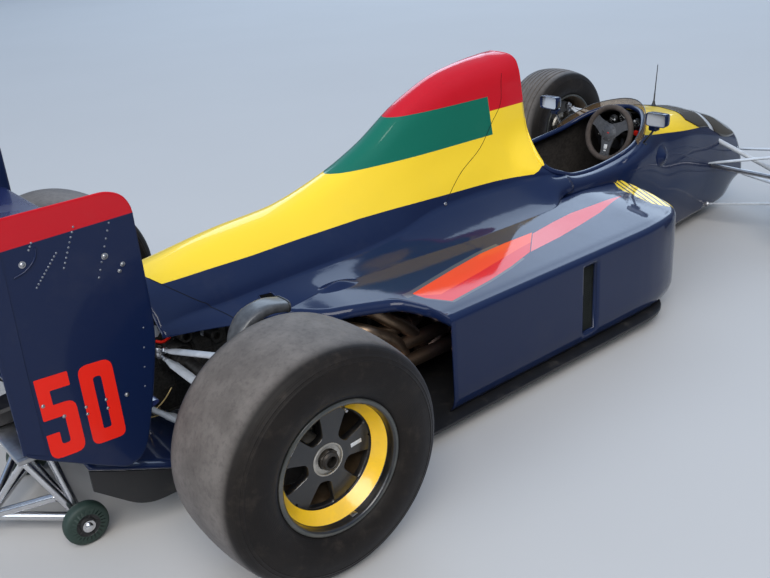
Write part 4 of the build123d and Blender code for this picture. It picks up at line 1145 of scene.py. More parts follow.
def build_wheel(tag, x0, sg, yc, z0, rear):
    body = "wheel_" + tag
    o = V(x0, sg * yc, z0)
    ax = V(0, sg, 0)                      # positive offset is outboard
    T = tyre_material("tyre_" + tag, x0, z0, rear)
    blk = rim_material("rim_black_" + tag, x0, z0, (0.006, 0.006, 0.007), (0.06, 0.052, 0.042), 0.3)
    flange = rim_material("rim_flange_" + tag, x0, z0, (0.035, 0.038, 0.034), (0.11, 0.10, 0.08), 0.5)
    inside = rim_material("rim_inside_" + tag, x0, z0, (0.055, 0.036, 0.02), (0.14, 0.105, 0.07), 0.6, 0.1)
    band = rim_material("rim_band_" + tag, x0, z0, (0.90, 0.54, 0.010), (0.30, 0.22, 0.08), 0.22)
    hw = 149.0 if rear else 118.0
    # ---- tyre, bead to bead over the crown
    b = Bag()
    if rear:
        half = profile([(139, 182), (143, 186), (150, 193), (158.5, 206), (163.5, 222), (165, 240), (163.5, 258), (159, 277)], 5)
        half += [(157.5, 282), (158.2, 283.5), (157.6, 285), (156.2, 286.2), (153.6, 292), (153.8, 293.6), (152.8, 295), (151.2, 296.4)]
        half += profile([(148.5, 301), (143, 308), (135, 314.6), (124, 319.4), (108, 322.8), (88, 325.3), (60, 327.6), (30, 329.2), (0, 329.8)], 4)
        b.rev(o, ax, half + [(-s, r) for s, r in reversed(half[:-1])], 160)
    else:
        half = profile([(108, 182), (112, 186), (118, 193), (126, 205), (130.5, 218), (132, 232), (130.5, 248), (126.5, 264)], 5)
        half += [(125.2, 268), (125.8, 269.5), (124.8, 271)]
        half += profile([(119, 281), (113, 289), (105, 295.5), (96, 299.2)], 4)
        cr = []
        for s in np.linspace(92, 0, 40):
            base = 310 - 11 * (abs(s) / 96) ** 2.2
            g = 0.0
            for gc in (66, 40, 14):
                g = max(g, 1 - abs(s - gc) / 4.2)
            cr.append((float(s), float(base - 5.0 * min(max(g, 0.0) * 2.2, 1.0))))
        half += cr
        b.rev(o, ax, half + [(-s, r) for s, r in reversed(half[:-1])], 160)
    # points for the inner faces of the beads, not built
    bead = [(hw - 10, 182), (hw - 18, 176), (hw - 22, 170)]
    b.piece("tyre_" + tag + "_skin", T, body=body, replaces="tyre_" + tag, slot="tyre_rubber", angle=28)
    # ---- rim: both flanges, outer barrel, cone band, inner barrel
    b = Bag()
    if rear:
        dish0, dish1 = (122, 164), (89, 138)
    else:
        dish0, dish1 = (98, 163), (74, 140)
    # material 0 flange, 1 black, 2 band, 3 inside
    lipo = [(hw - 12, 178), (hw - 11, 181.6), (hw - 7, 183.2), (hw - 3, 182.6), (hw - 0.8, 180), (hw - 0.3, 176), (hw - 1.2, 173)]
    b.mi = 0
    b.rev(o, ax, lipo, 128)
    b.mi = 1
    b.rev(o, ax, profile([(hw - 1.2, 173), (hw - 5, 168.5), (hw - 14, 166), (dish0[0] + 2, dish0[1] + 1), dish0], 4), 128)
    b.mi = 2
    b.rev(o, ax, [dish0, (dish0[0] - 1.5, dish0[1] - 1.8), ((dish0[0] + dish1[0]) / 2, (dish0[1] + dish1[1]) / 2 + 0.8), (dish1[0] + 1.5, dish1[1] + 1.4), dish1], 128)
    b.mi = 1
    b.rev(o, ax, [dish1, (dish1[0] - 3, dish1[1] - 1.5), (dish1[0] - 14, dish1[1] - 1.5), (dish1[0] - 20, 146), (dish1[0] - 24, 152)], 128)
    b.mi = 3
    b.rev(o, ax, profile([(dish1[0] - 24, 152), (dish1[0] - 60, 153), (0, 152), (-hw + 60, 151), (-hw + 30, 156), (-hw + 10, 167), (-hw + 3, 173)], 3), 128)
    b.mi = 0
    b.rev(o, ax, [(-hw + 3, 173), (-hw + 0.5, 177), (-hw + 1, 181), (-hw + 5, 183), (-hw + 10, 181.5), (-hw + 12, 178)], 128)
    b.mi = 1
    b.rev(o, ax, [(hw - 12, 178), (hw - 30, 168), (hw - 60, 160), (-hw + 60, 160), (-hw + 30, 168), (-hw + 12, 178)], 96)
    b.piece("rim_" + tag + "_barrel", [flange, blk, band, inside], body=body, replaces="rim_" + tag, slot="rim_paint", angle=35)
    # ---- five spoke star: windows cut between broad spokes
    b = Bag()
    s0 = dish1[0] - 5.0
    hub_r, out_r = 44.0, dish1[1] + 1.0
    A0 = math.radians(4 if sg < 0 else 4)
    N = 20

    def P(s, r, t):
        return o + ax * s + V(math.cos(t) * r, 0, math.sin(t) * r)

    for k in range(5):
        t0 = A0 + 2 * math.pi * k / 5
        # half of the star between this spoke and the next window: window outline as seen from outboard
        tw = t0 + math.pi / 5
        win = []
        pts = [(63, -15), (63, 15), (84, 26.5), (112, 36), (127, 39), (132.5, 28), (134.5, 0), (132.5, -28), (127, -39), (112, -36), (84, -26.5)]
        wc = catmull(pts, 5, closed=True)
        win = [(float(math.hypot(p[0], p[1])), tw + math.atan2(p[1], p[0])) for p in wc]
        # sector boundary: spoke middle line, outer arc, next spoke middle line, inner arc
        outer = []
        for r, t in win:
            d = t - tw
            # push the window point out to the sector's boundary along a ray from the window's middle
            cx, cy = 98.0, 0.0
            px, py = r * math.cos(d) - cx, r * math.sin(d) - cy
            L = math.hypot(px, py)
            px, py = px / L, py / L
            best = 1e9
            for ang in (math.pi / 5, -math.pi / 5):
                nx, ny = -math.sin(ang), math.cos(ang)
                if ang < 0:
                    nx, ny = -nx, -ny
                den = px * nx + py * ny
                if den > 1e-6:
                    q = -(cx * nx + cy * ny) / den
                    if 0 < q < best:
                        best = q
            bb, cc = cx * px, cx * cx - out_r ** 2
            q = -bb + math.sqrt(bb * bb - cc)
            best = min(best, q)
            cc = cx * cx - hub_r ** 2
            disc = bb * bb - cc
            if disc > 0:
                q = -bb - math.sqrt(disc)
                if 0 < q < best:
                    best = q
            x, y = cx + px * best, px * 0 + py * best
            outer.append((math.hypot(x, y), tw + math.atan2(y, x)))
        crown = lambda r: 5.0 * math.cos(min(max((r - 44) / 94, 0), 1) * math.pi / 2)
        ringO = [P(s0 + crown(r), r, t) for r, t in outer]
        ringW = [P(s0 + crown(r) - 0.0, r + (0.0), t) for r, t in win]
        ringW1 = [P(s0 + crown(r) - 3.0, *shrink(r, t, tw, 2.6)) for r, t in win]
        ringW2 = [P(s0 - 15.0, *shrink(r, t, tw, 3.4)) for r, t in win]
        ringW3 = [P(s0 - 19.0, *shrink(r, t, tw, 0.5)) for r, t in win]
        ringB = [P(s0 - 19.0, r, t) for r, t in outer]
        b.grid([ringO, ringW, ringW1, ringW2, ringW3, ringB], wrap_v=True)
    b.piece("rim_" + tag + "_star", blk, body=body, slot="rim_paint", angle=40, merge=0.3)
    return o, ax, P, s0, dict(blk=blk, flange=flange, inside=inside, band=band)


def shrink(r, t, tw, k):
    """Moves a window point k towards the window's middle."""
    x, y = r * math.cos(t - tw) - 98.0, r * math.sin(t - tw)
    L = math.hypot(x, y)
    x, y = x * (L - k) / L + 98.0, y * (L - k) / L
    return math.hypot(x, y), tw + math.atan2(y, x)


STICK = make_plain("sticker_silver", (0.55, 0.56, 0.58), (0.7, 0.71, 0.72), (0.3, 0.45), 0.3, scale=200)
WASH = make_plain("hub_washer", (0.36, 0.34, 0.30), (0.55, 0.53, 0.49), (0.35, 0.6), 0.7, scale=45, bump=0.0004)
DARKM = make_plain("dark_metal", (0.05, 0.045, 0.04), (0.1, 0.09, 0.08), (0.4, 0.6), 0.9, scale=70)
DISC = make_plain("brake_disc", (0.05, 0.048, 0.046), (0.085, 0.08, 0.075), (0.45, 0.6), 0.3, scale=60, coat=0.1)

for tag, x0, sg, yc, z0, rear in (("rear_right", 0.0, -1, 830.0, 330.0, True), ("rear_left", 0.0, 1, 830.0, 330.0, True),
                                  ("front_right", WB, -1, 881.0, 310.0, False), ("front_left", WB, 1, 881.0, 310.0, False)):
    o, ax, P, s0, mm = build_wheel(tag, x0, sg, yc, z0, rear)
    body = "wheel_" + tag
    # ---- hub, washer, hexagon collar and hollow threaded centre nut
    b = Bag()
    core = 35.0 if rear else 30.0
    face = 80.0 if rear else 66.0
    end = 107.0 if rear else 92.0
    b.mi = 0
    b.rev(o, ax, [(s0 - 22, core + 12), (s0 - 10, core + 12), (s0 + 5, core + 10), (s0 + 6.5, core + 6)], 64)
    b.rev(o, ax, [(s0 + 5, 44), (s0 + 6, 45.5), (face + 3, 45), (face + 5.5, 43.5), (face + 6, 41), (face + 5.2, 34), (face + 5, 28)], 64)
    b.mi = 1
    hexr = 29.0
    for (sa, sb, k0, k1) in ((face + 5, face + 7, 0.92, 1.0), (face + 7, face + 15, 1.0, 1.0), (face + 15, face + 17, 1.0, 0.9)):
        ra = [P(sa, hexr * k0, math.pi / 6 + i * math.pi / 3) for i in range(6)]
        rb = [P(sb, hexr * k1, math.pi / 6 + i * math.pi / 3) for i in range(6)]
        b.grid([ra, rb], wrap_v=True)
    b.rev(o, ax, [(face + 17, 26), (face + 17.2, 22.5)], 48)
    thr = []
    for i in range(9):
        s = face + 17.2 + i * (end - face - 18.5) / 8
        thr.append((s, 21.6 if i % 2 else 22.8))
    b.rev(o, ax, thr + [(end - 0.6, 21.5), (end, 20), (end, 16.5), (end - 1, 15.2), (end - 22, 14.6), (end - 24, 0)], 48)
    b.piece("hub_" + tag + "_nut", [WASH, DARKM], body=body, slot="steel", replaces="hub_" + tag, angle=35)
    # ---- axle, bell and ventilated brake disc inboard
    b = Bag()
    yin = 632.0 if rear else 745.0
    yd, td, rd = (740.0, 28.0, 140.0) if rear else (825.0, 26.0, 138.0)
    off = lambda y: y - yc
    b.mi = 0
    b.rev(o, ax, [(off(yin), 0), (off(yin), core - 2), (off(yin) + 2, core - 0.3), (s0 - 22, core - 0.3), (s0 - 22, core + 12)], 48)
    b.rev(o, ax, [(off(yd) - 4, core), (off(yd) - 4, 62), (off(yd) + 6, 70), (off(yd) + 6, 76)], 64)
    b.mi = 1
    for s1, s2 in ((0.0, 9.0), (td - 9.0, td)):
        b.rev(o, ax, [(off(yd) + s1, 74), (off(yd) + s1, rd - 1), (off(yd) + s1 + 1, rd), (off(yd) + s2 - 1, rd), (off(yd) + s2, rd - 1), (off(yd) + s2, 74), (off(yd) + s1, 74)], 96)
    for k in range(36):
        t = 2 * math.pi * k / 36
        b.add([P(off(yd) + 9, 78, t), P(off(yd) + td - 9, 78, t), P(off(yd) + td - 9, rd - 2, t + 0.16), P(off(yd) + 9, rd - 2, t + 0.16)], [(0, 1, 2, 3)])
    b.mi = 2
    if rear:
        b.rev(o, ax, [(off(150), 0), (off(150), 40), (off(152), 42), (off(192), 42), (off(195), 38), (off(200), 22), (off(215), 20), (off(580), 20), (off(584), 30), (off(586), 42),
                      (off(624), 42), (off(627), 38), (off(632), 34)], 40)
        for yy in (150.0, 632.0):
            for k in range(6):
                t = 2 * math.pi * k / 6
                q = P(off(yy), 31, t)
                b.cyl(q - ax * 0, q + ax * (4 if yy > 300 else -4), 4, 8)
    b.piece("hub_" + tag + "_brake", [WASH, DISC, DARKM], body=body, slot="steel", angle=35)
    # ---- valve and balance pieces
    b = Bag()
    vt = math.radians(78)
    rv, sv = (160, 128) if rear else (158, 100)
    q = P(sv, rv, vt)
    b.cyl(q, q + ax * 14 - V(math.cos(vt), 0, math.sin(vt)) * 5, 3.4, 12, 1)
    b.cyl(q + ax * 14 - V(math.cos(vt), 0, math.sin(vt)) * 5, q + ax * 19 - V(math.cos(vt), 0, math.sin(vt)) * 6.8, 4.2, 12, 1)
    for t in (2.4, 2.46, 4.9):
        qq = P(sv + 4, rv + 3, t)
        b.box(qq, (18, 12, 3), axes=[(-math.sin(t), 0, math.cos(t)), (0, 1, 0), (math.cos(t), 0, math.sin(t))], bev=0.8)
    b.piece("rim_" + tag + "_valve", M["steel"], body=body, slot="steel", angle=35)
    # small bright plate on one spoke
    b = Bag()
    t = math.radians(4)
    u = V(math.cos(t), 0, math.sin(t))
    w = V(-math.sin(t), 0, math.cos(t))
    c0 = o + ax * (s0 + 4.2) + u * 90
    b.box(c0, (34, 11, 0.8), axes=[u, w, ax], bev=0.3)
    b.piece("rim_" + tag + "_plate", STICK, body=body, slot="rim_paint", angle=35)

# ------------------------------------------------------------------ rear wing
EPL = [(-594, 1012), (-262, 1012), (-225, 995), (-206, 960), (-204, 660), (-211, 587), (-245, 443), (-281, 326), (-304, 283), (-348, 270), (-378, 286), (-559, 394), (-594, 420)]


def endplate_material():
    m = Mat("endplate_paint")
    n, d = m.noise(38, 4, 0.55), m.noise(5.5, 5, 0.65)
    dust = d.step(0.5, 0.8)
    navy, red = NAVY, (0.50, 0.006, 0.014)
    # the red band along the top, its lower border dipping towards the rear
    edge = m.z - (942.0 + (m.x + 262.0) * 0.02)
    redf = edge.step(-1.2, 1.2) * (m.x + 592.0).step(-1, 1)
    c = m.mix(redf, navy, red)
    c = m.mix(dust * 0.03 + n * 0.006, c, (0.30, 0.27, 0.22))
    m.color(c)
    m.rough(0.40 + dust * 0.16)
    m.b.inputs["Specular IOR Level"].default_value = 0.12
    m.b.inputs["Coat IOR"].default_value = 1.33
    m.b.inputs["Coat Weight"].default_value = 0.7
    m.b.inputs["Coat Roughness"].default_value = 0.09
    m.bump(m.noise(260, 2, 0.5) + m.noise(11, 2, 0.5) * 2.5, 0.00015, 0.5)
    return m.m


EPM = endplate_material()
RED = make_paint("number_red", (0.78, 0.020, 0.010), 0.3, 0.35)
rad = [6, 34, 30, 40, 60, 40, 60, 60, 30, 50, 30, 30, 20]
epo = round_poly(EPL, rad)
for nm, sg in (("right", -1), ("left", 1)):
    b = Bag()
    cx, cz = -400, 700

    def ins(k):
        out = []
        for x, z in epo:
            d = math.hypot(x - cx, z - cz)
            out.append((x - (x - cx) / d * k, z - (z - cz) / d * k))
        return out

    y_o, y_i = sg * 493.0, sg * 487.0
    rings = []
    for k, y in ((9.0, y_i), (2.0, y_i), (0.6, y_i + sg * 1.0), (0.0, y_i + sg * 2.6), (0.0, y_o - sg * 2.2), (0.7, y_o - sg * 0.7), (2.2, y_o), (9.0, y_o)):
        rings.append([(x, y, z) for x, z in ins(k)])
    b.grid(rings, wrap_v=True)
    b.add(rings[0], [tuple(range(len(rings[0])))])
    b.add(rings[-1], [tuple(range(len(rings[-1])))])
    b.piece("wing_endplate_" + nm, EPM, slot="navy_paint", angle=40, merge=0.01, replaces=("wing_endplates",) if sg < 0 else ())

# rivets and bolts on the plates
b = Bag()


def row(p, q, n, r=3.0):
    for t in np.linspace(0, 1, n):
        x, z = p[0] + (q[0] - p[0]) * t, p[1] + (q[1] - p[1]) * t
        for sg in (-1, 1):
            b.dome((x, sg * 492.6, z), (0, sg, 0), r, 1.5, 10)


row((-270, 934), (-321, 807), 8)
row((-356, 948), (-398, 857), 9)
row((-408, 898), (-469, 830), 11)
row((-458, 938), (-467, 923), 3)
row((-236, 640), (-262, 480), 4, 2.6)
b.piece("endplate_rivets", make_plain("rivet_metal", (0.15, 0.165, 0.20), (0.27, 0.285, 0.32), (0.3, 0.5), 0.7), slot="navy_paint", angle=50)
b = Bag()
for x, z, r in ((-489, 894, 8.5), (-297, 856, 8.5), (-257, 823, 6.5), (-268, 808, 5.0), (-314, 477, 6.0), (-522, 533, 5.0), (-479, 486, 5.0), (-422, 487, 4.0),
                (-369, 486, 4.0), (-422, 467, 4.0), (-369, 461, 4.0)):
    for sg in (-1, 1):
        b.rev((x, sg * 492.4, z), (0, sg, 0), [(0, r), (1.6, r), (2.0, r * 0.87), (2.0, r * 0.65)], 20)
        b.dome((x, sg * 493.8, z), (0, sg, 0), r * 0.65, r * 0.33, 14)
b.piece("endplate_bolts", M["steel"], slot="steel", angle=40)
# curved adjustment slots with a rolled edge, and the doubled strip behind the fold near the rear edge
b = Bag()
for sg in (-1, 1):
    cc = catmull([(-452, 926), (-455, 908), (-464, 893), (-487, 876), (-514, 868)], 6)
    b.tube([(q[0], sg * 493.2, q[1]) for q in cc], 2.6, 8)
b.piece("endplate_slots", M["navy"], slot="navy_paint", angle=60)
b = Bag()
for sg in (-1, 1):
    o_ = [(-588, 426), (-541.5, 398), (-538, 640), (-531, 934), (-588, 934)]
    b.prism(o_ if sg > 0 else o_[::-1], (0, sg * 492.6, 0), (1, 0, 0), (0, 0, 1), (0, sg, 0), 2.2, 1.4)
b.piece("endplate_doublers", M["navy"], slot="navy_paint", angle=30)

# plain numerals on the plates
FIVE = round_poly([(2, 226), (84, 226), (84, 188), (33, 188), (33, 148), (88, 148), (88, 0), (0, 0), (0, 72), (33, 72), (33, 36), (55, 36), (55, 112), (2, 112)],
                  [3, 3, 3, 3, 3, 24, 26, 26, 2, 2, 8, 8, 8, 3], 5)
ZO = round_poly([(44, 0), (88, 0), (88, 226), (0, 226), (0, 0)], [0.5, 26, 26, 26, 26], 7)
ZI = round_poly([(44, 38), (55, 38), (55, 188), (33, 188), (33, 38)], [0.5, 9, 9, 9, 9], 7)
b = Bag()
for sg in (-1, 1):
    def at(u, v, u0, y):
        x = u0 + u
        return (x if sg < 0 else -2 * 434 - x, sg * y, 374 + v - 0.06 * (u0 + u + 434))
    ring = [at(u, v, -532, 494.0) for u, v in FIVE]
    b.add(ring, [tuple(range(len(ring)))])
    b.grid([[at(u, v, -532, 494.0) for u, v in FIVE], [at(u, v, -532, 492.8) for u, v in FIVE]], wrap_v=True)
    eo, ei = even(ZO + [ZO[0]], 97)[:-1], even(ZI + [ZI[0]], 97)[:-1]
    b.grid([[at(u, v, -424, 492.8) for u, v in eo], [at(u, v, -424, 494.0) for u, v in eo], [at(u, v, -424, 494.0) for u, v in ei], [at(u, v, -424, 492.8) for u, v in ei]], wrap_v=True)
b.piece("endplate_numerals", RED, slot="navy_paint", angle=30)

# folded strip along each plate's rear edge
b = Bag()
for sg in (-1, 1):
    pth = [(-590, sg * 493, z) for z in np.linspace(424, 1006, 40)]
    b.sweep(pth, [(-4, -2), (4, -2), (5, 0), (4, 2.4), (-4, 2.4), (-5, 0)], up=(0, sg, 0))
b.piece("endplate_edge_strips", M["navy"], slot="navy_paint", angle=40)


def foil_curve(x0, z0, x1, z1, t, camber, n=26):
    """Closed wing section: rounded front, thin rear edge, cambered downward."""
    L = math.hypot(x1 - x0, z1 - z0)
    ex, ez = (x1 - x0) / L, (z1 - z0) / L
    nx, nz = -ez, ex
    if nz < 0:
        nx, nz = -nx, -nz
    up, dn = [], []
    for k in range(n + 1):
        s = (1 - math.cos(math.pi * k / n)) / 2
        th = t * 1.0 * (2.969 * math.sqrt(s) - 1.26 * s - 3.516 * s * s + 2.843 * s ** 3 - 1.036 * s ** 4) * 0.5
        th = max(th, 0.8 * s)
        cam = -camber * 4 * s * (1 - s)
        base = (x0 + ex * L * s, z0 + ez * L * s)
        up.append((base[0] + nx * (cam + th), base[1] + nz * (cam + th)))
        dn.append((base[0] + nx * (cam - th), base[1] + nz * (cam - th)))
    return up + dn[::-1][:-1]


def wing_material(name):
    m = Mat(name)
    n, d = m.noise(30, 4, 0.55), m.noise(6, 5, 0.65)
    c = m.mix(d.step(0.5, 0.8) * 0.12 + n * 0.03, (0.010, 0.018, 0.085), (0.3, 0.27, 0.22))
    m.color(c)
    m.rough(0.26 + d.step(0.5, 0.8) * 0.16)
    m.b.inputs["Coat Weight"].default_value = 0.7
    m.b.inputs["Coat Roughness"].default_value = 0.06
    m.bump(m.noise(240, 2, 0.5) + m.noise(9, 2, 0.5) * 3, 0.00015, 0.5)
    return m.m


WINGM = wing_material("wing_paint")
WHITE = make_paint("white_trim", (0.70, 0.70, 0.68), 0.4, 0.35)
for nm, rep, args in (("wing_main_skin", "wing_main_plane", [(-222, 812, -425, 852, 26, 18)]),
                      ("wing_flap_skin", "wing_flaps", [(-405, 868, -500, 932, 16, 10), (-488, 948, -570, 1000, 12, 9)]),
                      ("lower_wing_skin", "lower_wing", [(-230, 420, -440, 450, 24, 16)])):
    b = Bag()
    for a in args:
        c = foil_curve(*a)
        ys = np.linspace(-486.5, 486.5, 15)
        b.loft([[(x, y, z) for x, z in c] for y in ys])
        # upturned strip along the rear edge
        if nm != "wing_main_skin":
            L = math.hypot(a[2] - a[0], a[3] - a[1])
            ex, ez = (a[2] - a[0]) / L, (a[3] - a[1]) / L
            nx, nz = -ez, ex
            if nz < 0:
                nx, nz = -nx, -nz
            h = 9.0
            q = [(a[2] - ex * 1.5, a[3] - ez * 1.5), (a[2], a[3]), (a[2] + nx * h, a[3] + nz * h), (a[2] - ex * 1.5 + nx * h, a[3] - ez * 1.5 + nz * h)]
            b.loft([[(x, y, z) for x, z in q] for y in (-486, 486)])
    b.piece(nm, WINGM, replaces=rep, slot="navy_paint", angle=45)

# wing carrier on the tail
b = Bag()
for y in (-50, 50):
    out = round_poly([(-300, 340), (-480, 340), (-470, 380), (-420, 446), (-250, 430)], 14)
    b.prism([(p[0], p[1]) for p in out], (0, y - 5, 0), (1, 0, 0), (0, 0, 1), (0, 1, 0), 10, 2)
    for x, z in ((-330, 360), (-440, 360), (-300, 415), (-400, 420)):
        b.hexa((x, y + (5 if y > 0 else -5), z), (0, 1 if y > 0 else -1, 0), 8, 5)
b.piece("wing_carrier", M["black"], replaces="wing_pillar", slot="black_composite", angle=40)
# ------------------------------------------------------------------ rear suspension
def aero(chord, thick, n=16):
    """Teardrop section in (across, up) terms, chord across."""
    pts = []
    for k in range(n):
        a = 2 * math.pi * k / n
        x = math.cos(a) * chord / 2
        y = math.sin(a) * thick / 2 * (1.0 if math.cos(a) > 0 else (1 + math.cos(a) * 0.35))
        pts.append((x, y))
    return pts


def arm(b, p, q, chord=30, thick=14, end=0.09, rod=8.5, up=(0, 0, 1)):
    """Suspension member: flattened tube with tapered ends, threaded rod ends and lock nuts."""
    p, q = np.array(p, float), np.array(q, float)
    L = np.linalg.norm(q - p)
    d = (q - p) / L
    e0, e1 = p + d * 34, q - d * 34
    ts = np.linspace(0, 1, 25)
    path = [e0 + (e1 - e0) * t for t in ts]

    def sc(t):
        return 0.50 + 0.50 * smooth01(min(t, 1 - t) / end)
    sec = aero(chord, thick)
    b.sweep(path, sec, up=up, scale=[sc(t) for t in ts])
    b.mi = 1
    b.cyl(p + d * 8, e0 + d * 6, rod * 0.75, 14, 1)
    b.cyl(q - d * 8, e1 - d * 6, rod * 0.75, 14, 1)
    b.hexa(e0 - d * 9, d, rod * 1.25, 8)
    b.hexa(e1 + d * 1, d, rod * 1.25, 8)
    b.mi = 0


def rod_end(b, p, axis, r=15, w=16):
    """Spherical joint: outer ring, ball and bolt."""
    a = np.array(axis, float) / np.linalg.norm(axis)
    p = np.array(p, float)
    b.mi = 1
    b.rev(p - a * w / 2, a, [(1, r * 0.62), (0, r * 0.75), (0, r * 0.95), (1.5, r), (w - 1.5, r), (w, r * 0.95), (w, r * 0.75), (w - 1, r * 0.62)], 28)
    b.mi = 2
    b.rev(p - a * w * 0.62, a, [(0, r * 0.36), (1, r * 0.5), (w * 0.3, r * 0.6), (w * 0.62, r * 0.66), (w * 0.94, r * 0.6), (w * 1.24 - 1, r * 0.5), (w * 1.24, r * 0.36)], 24)
    b.hexa(p + a * w * 0.62, a, r * 0.55, 6)
    b.hexa(p - a * w * 0.62, -a, r * 0.55, 5)
    b.mi = 0


RUP, RLOW = (45, 655, 488), (0, 655, 205)
RARMS = [((-58, 130, 376), RUP, 34, 15), ((-60, 130, 360), (10, 652, 252), 34, 15), ((300, 112, 330), RUP, 34, 15), ((-100, 112, 170), RLOW, 38, 17), ((300, 112, 170), RLOW, 38, 17)]
for tag, sg in (("right", -1), ("left", 1)):
    b = Bag()
    for p, q, ch, th in RARMS:
        arm(b, (p[0], sg * p[1], p[2]), (q[0], sg * q[1], q[2]), ch, th)
        rod_end(b, (p[0], sg * p[1], p[2]), (0.25, 0, 1), 15, 16)
    for q in (RUP, RLOW):
        rod_end(b, (q[0], sg * q[1], q[2]), (0, 0, 1), 20, 22)
    # the pushrod is round
    for p, q, r in (((-130, 112, 200), (-75, 650, 250), 9.0),):
        p, q = V(p[0], sg * p[1], p[2]), V(q[0], sg * q[1], q[2])
        d = (q - p) / np.linalg.norm(q - p)
        b.tube([p + d * 30, p + d * 42, q - d * 42, q - d * 30], [r * 0.75, r, r, r * 0.75], 18)
        b.mi = 1
        b.cyl(p + d * 6, p + d * 34, r * 0.6, 12, 1)
        b.cyl(q - d * 34, q - d * 6, r * 0.6, 12, 1)
        b.hexa(p + d * 22, d, r * 1.1, 7)
        b.hexa(q - d * 29, d, r * 1.1, 7)
        b.mi = 0
        rod_end(b, p, (1, 0, 0.2), 13, 13)
        rod_end(b, q, (1, 0, 0.2), 13, 13)
    b.piece("rear_arms_" + tag, [M["grey"], M["steel"], DARKM], replaces=("rear_wishbones",) if sg < 0 else (), slot="grey_paint", angle=40)
    # upright: cast body with webs, bearing ring and clevises
    b = Bag()
    yi, yo = sg * 640, sg * 730
    out = round_poly([(-55, 255), (-55, 405), (-30, 440), (-10, 503), (70, 503), (62, 440), (55, 405), (55, 255), (30, 220), (30, 188), (-30, 188), (-30, 220)], 12, 5)
    b.prism(out, (0, sg * 640, 0), (1, 0, 0), (0, 0, 1), (0, sg, 0), 32, 3)
    mid = round_poly([(-54, 258), (-54, 402), (54, 402), (54, 258)], 26, 8)
    b.prism(mid, (0, sg * 670, 0), (1, 0, 0), (0, 0, 1), (0, sg, 0), 60, 5)
    b.rev((0, sg * 636, 330), (0, sg, 0), [(0, 36), (0, 50), (3, 53), (8, 53), (8, 36)], 40)
    for k in range(8):
        a = 2 * math.pi * k / 8
        b.hexa((44.5 * math.cos(a), sg * 636, 330 + 44.5 * math.sin(a)), (0, -sg, 0), 5, 4)
    for x in (-46, 46):
        b.box((x, sg * 700, 330), (6, 56, 120), bev=2)
    b.box((-72, sg * 657, 267), (34, 24, 62), bev=5)
    b.piece("rear_upright_" + tag, M["cast"], replaces=("rear_uprights",) if sg < 0 else (), slot="cast_alloy", angle=40)
    # caliper, clamped on the disc's rear half
    b = Bag()
    y0, y1 = sg * 728, sg * 780
    for a0, a1 in ((math.radians(125), math.radians(200)),):
        rings = []
        for a in np.linspace(a0, a1, 14):
            ring = []
            for yy, rr in ((y0, 94), (y0, 146), (y0 + sg * 6, 156), (y1 - sg * 6, 156), (y1, 146), (y1, 94), (y1 - sg * 10, 94), (y1 - sg * 10, 143), (y0 + sg * 10, 143), (y0 + sg * 10, 94)):
                ring.append((rr * math.cos(a), yy, 330 + rr * math.sin(a)))
            rings.append(ring)
        b.loft(rings)
    b.piece("rear_caliper_" + tag, M["cast"], slot="cast_alloy", angle=40)

# ------------------------------------------------------------------ brake cooling scoops above the rear axle
DUCT = make_plain("duct_composite", (0.040, 0.042, 0.045), (0.075, 0.078, 0.082), (0.35, 0.55), coat=0.25, scale=60)
for tag, sg in (("right", -1), ("left", 1)):
    b = Bag()
    line = [(118, 616), (60, 627), (0, 612), (-42, 566), (-48, 520), (-26, 476)]
    c = catmull(line, 8)
    rings = []
    for i, p in enumerate(c):
        t = i / (len(c) - 1)
        hw, hh = 36 - 14 * smooth01((t - 0.35) / 0.5), 15.5 + 1.5 * t
        yc = 597 + 18 * smooth01((t - 0.35) / 0.5)
        tn = np.array(c[min(i + 1, len(c) - 1)]) - np.array(c[max(i - 1, 0)])
        tn = tn / np.linalg.norm(tn)
        nn = V(-tn[1], tn[0])
        ring = []
        for k in range(20):
            a = 2 * math.pi * k / 20
            u = abs(math.cos(a)) ** 0.55 * (1 if math.cos(a) > 0 else -1) * hw
            v = abs(math.sin(a)) ** 0.55 * (1 if math.sin(a) > 0 else -1) * hh
            q = p + nn * v
            ring.append((q[0], sg * (yc + u), q[1]))
        rings.append(ring)
    b.loft(rings, caps=False)
    b.piece("brake_scoop_" + tag, DUCT, replaces=("brake_ducts",) if sg < 0 else (), slot="black_composite", angle=45, solid=2.2)
    b = Bag()
    b.tube([*rings[0], rings[0][0]], 2.4, 8, caps=False)
    b.piece("brake_scoop_lip_" + tag, M["black"], slot="black_composite", angle=60)

# ------------------------------------------------------------------ gearbox and rear structure
b = Bag()
side = round_poly([(700, 80), (700, 380), (420, 400), (-120, 400), (-330, 345), (-330, 275), (-100, 165), (60, 105), (300, 90)], [6, 12, 40, 60, 30, 20, 60, 60, 40], 7)
rings = []
for k, yy in ((14, -110), (5, -107), (1.5, -102), (0, -94), (0, 94), (1.5, 102), (5, 107), (14, 110)):
    cx, cz = 200, 250
    rings.append([(x - (x - cx) / max(math.hypot(x - cx, z - cz), 1) * k, yy, z - (z - cz) / max(math.hypot(x - cx, z - cz), 1) * k) for x, z in side])
b.loft(rings)
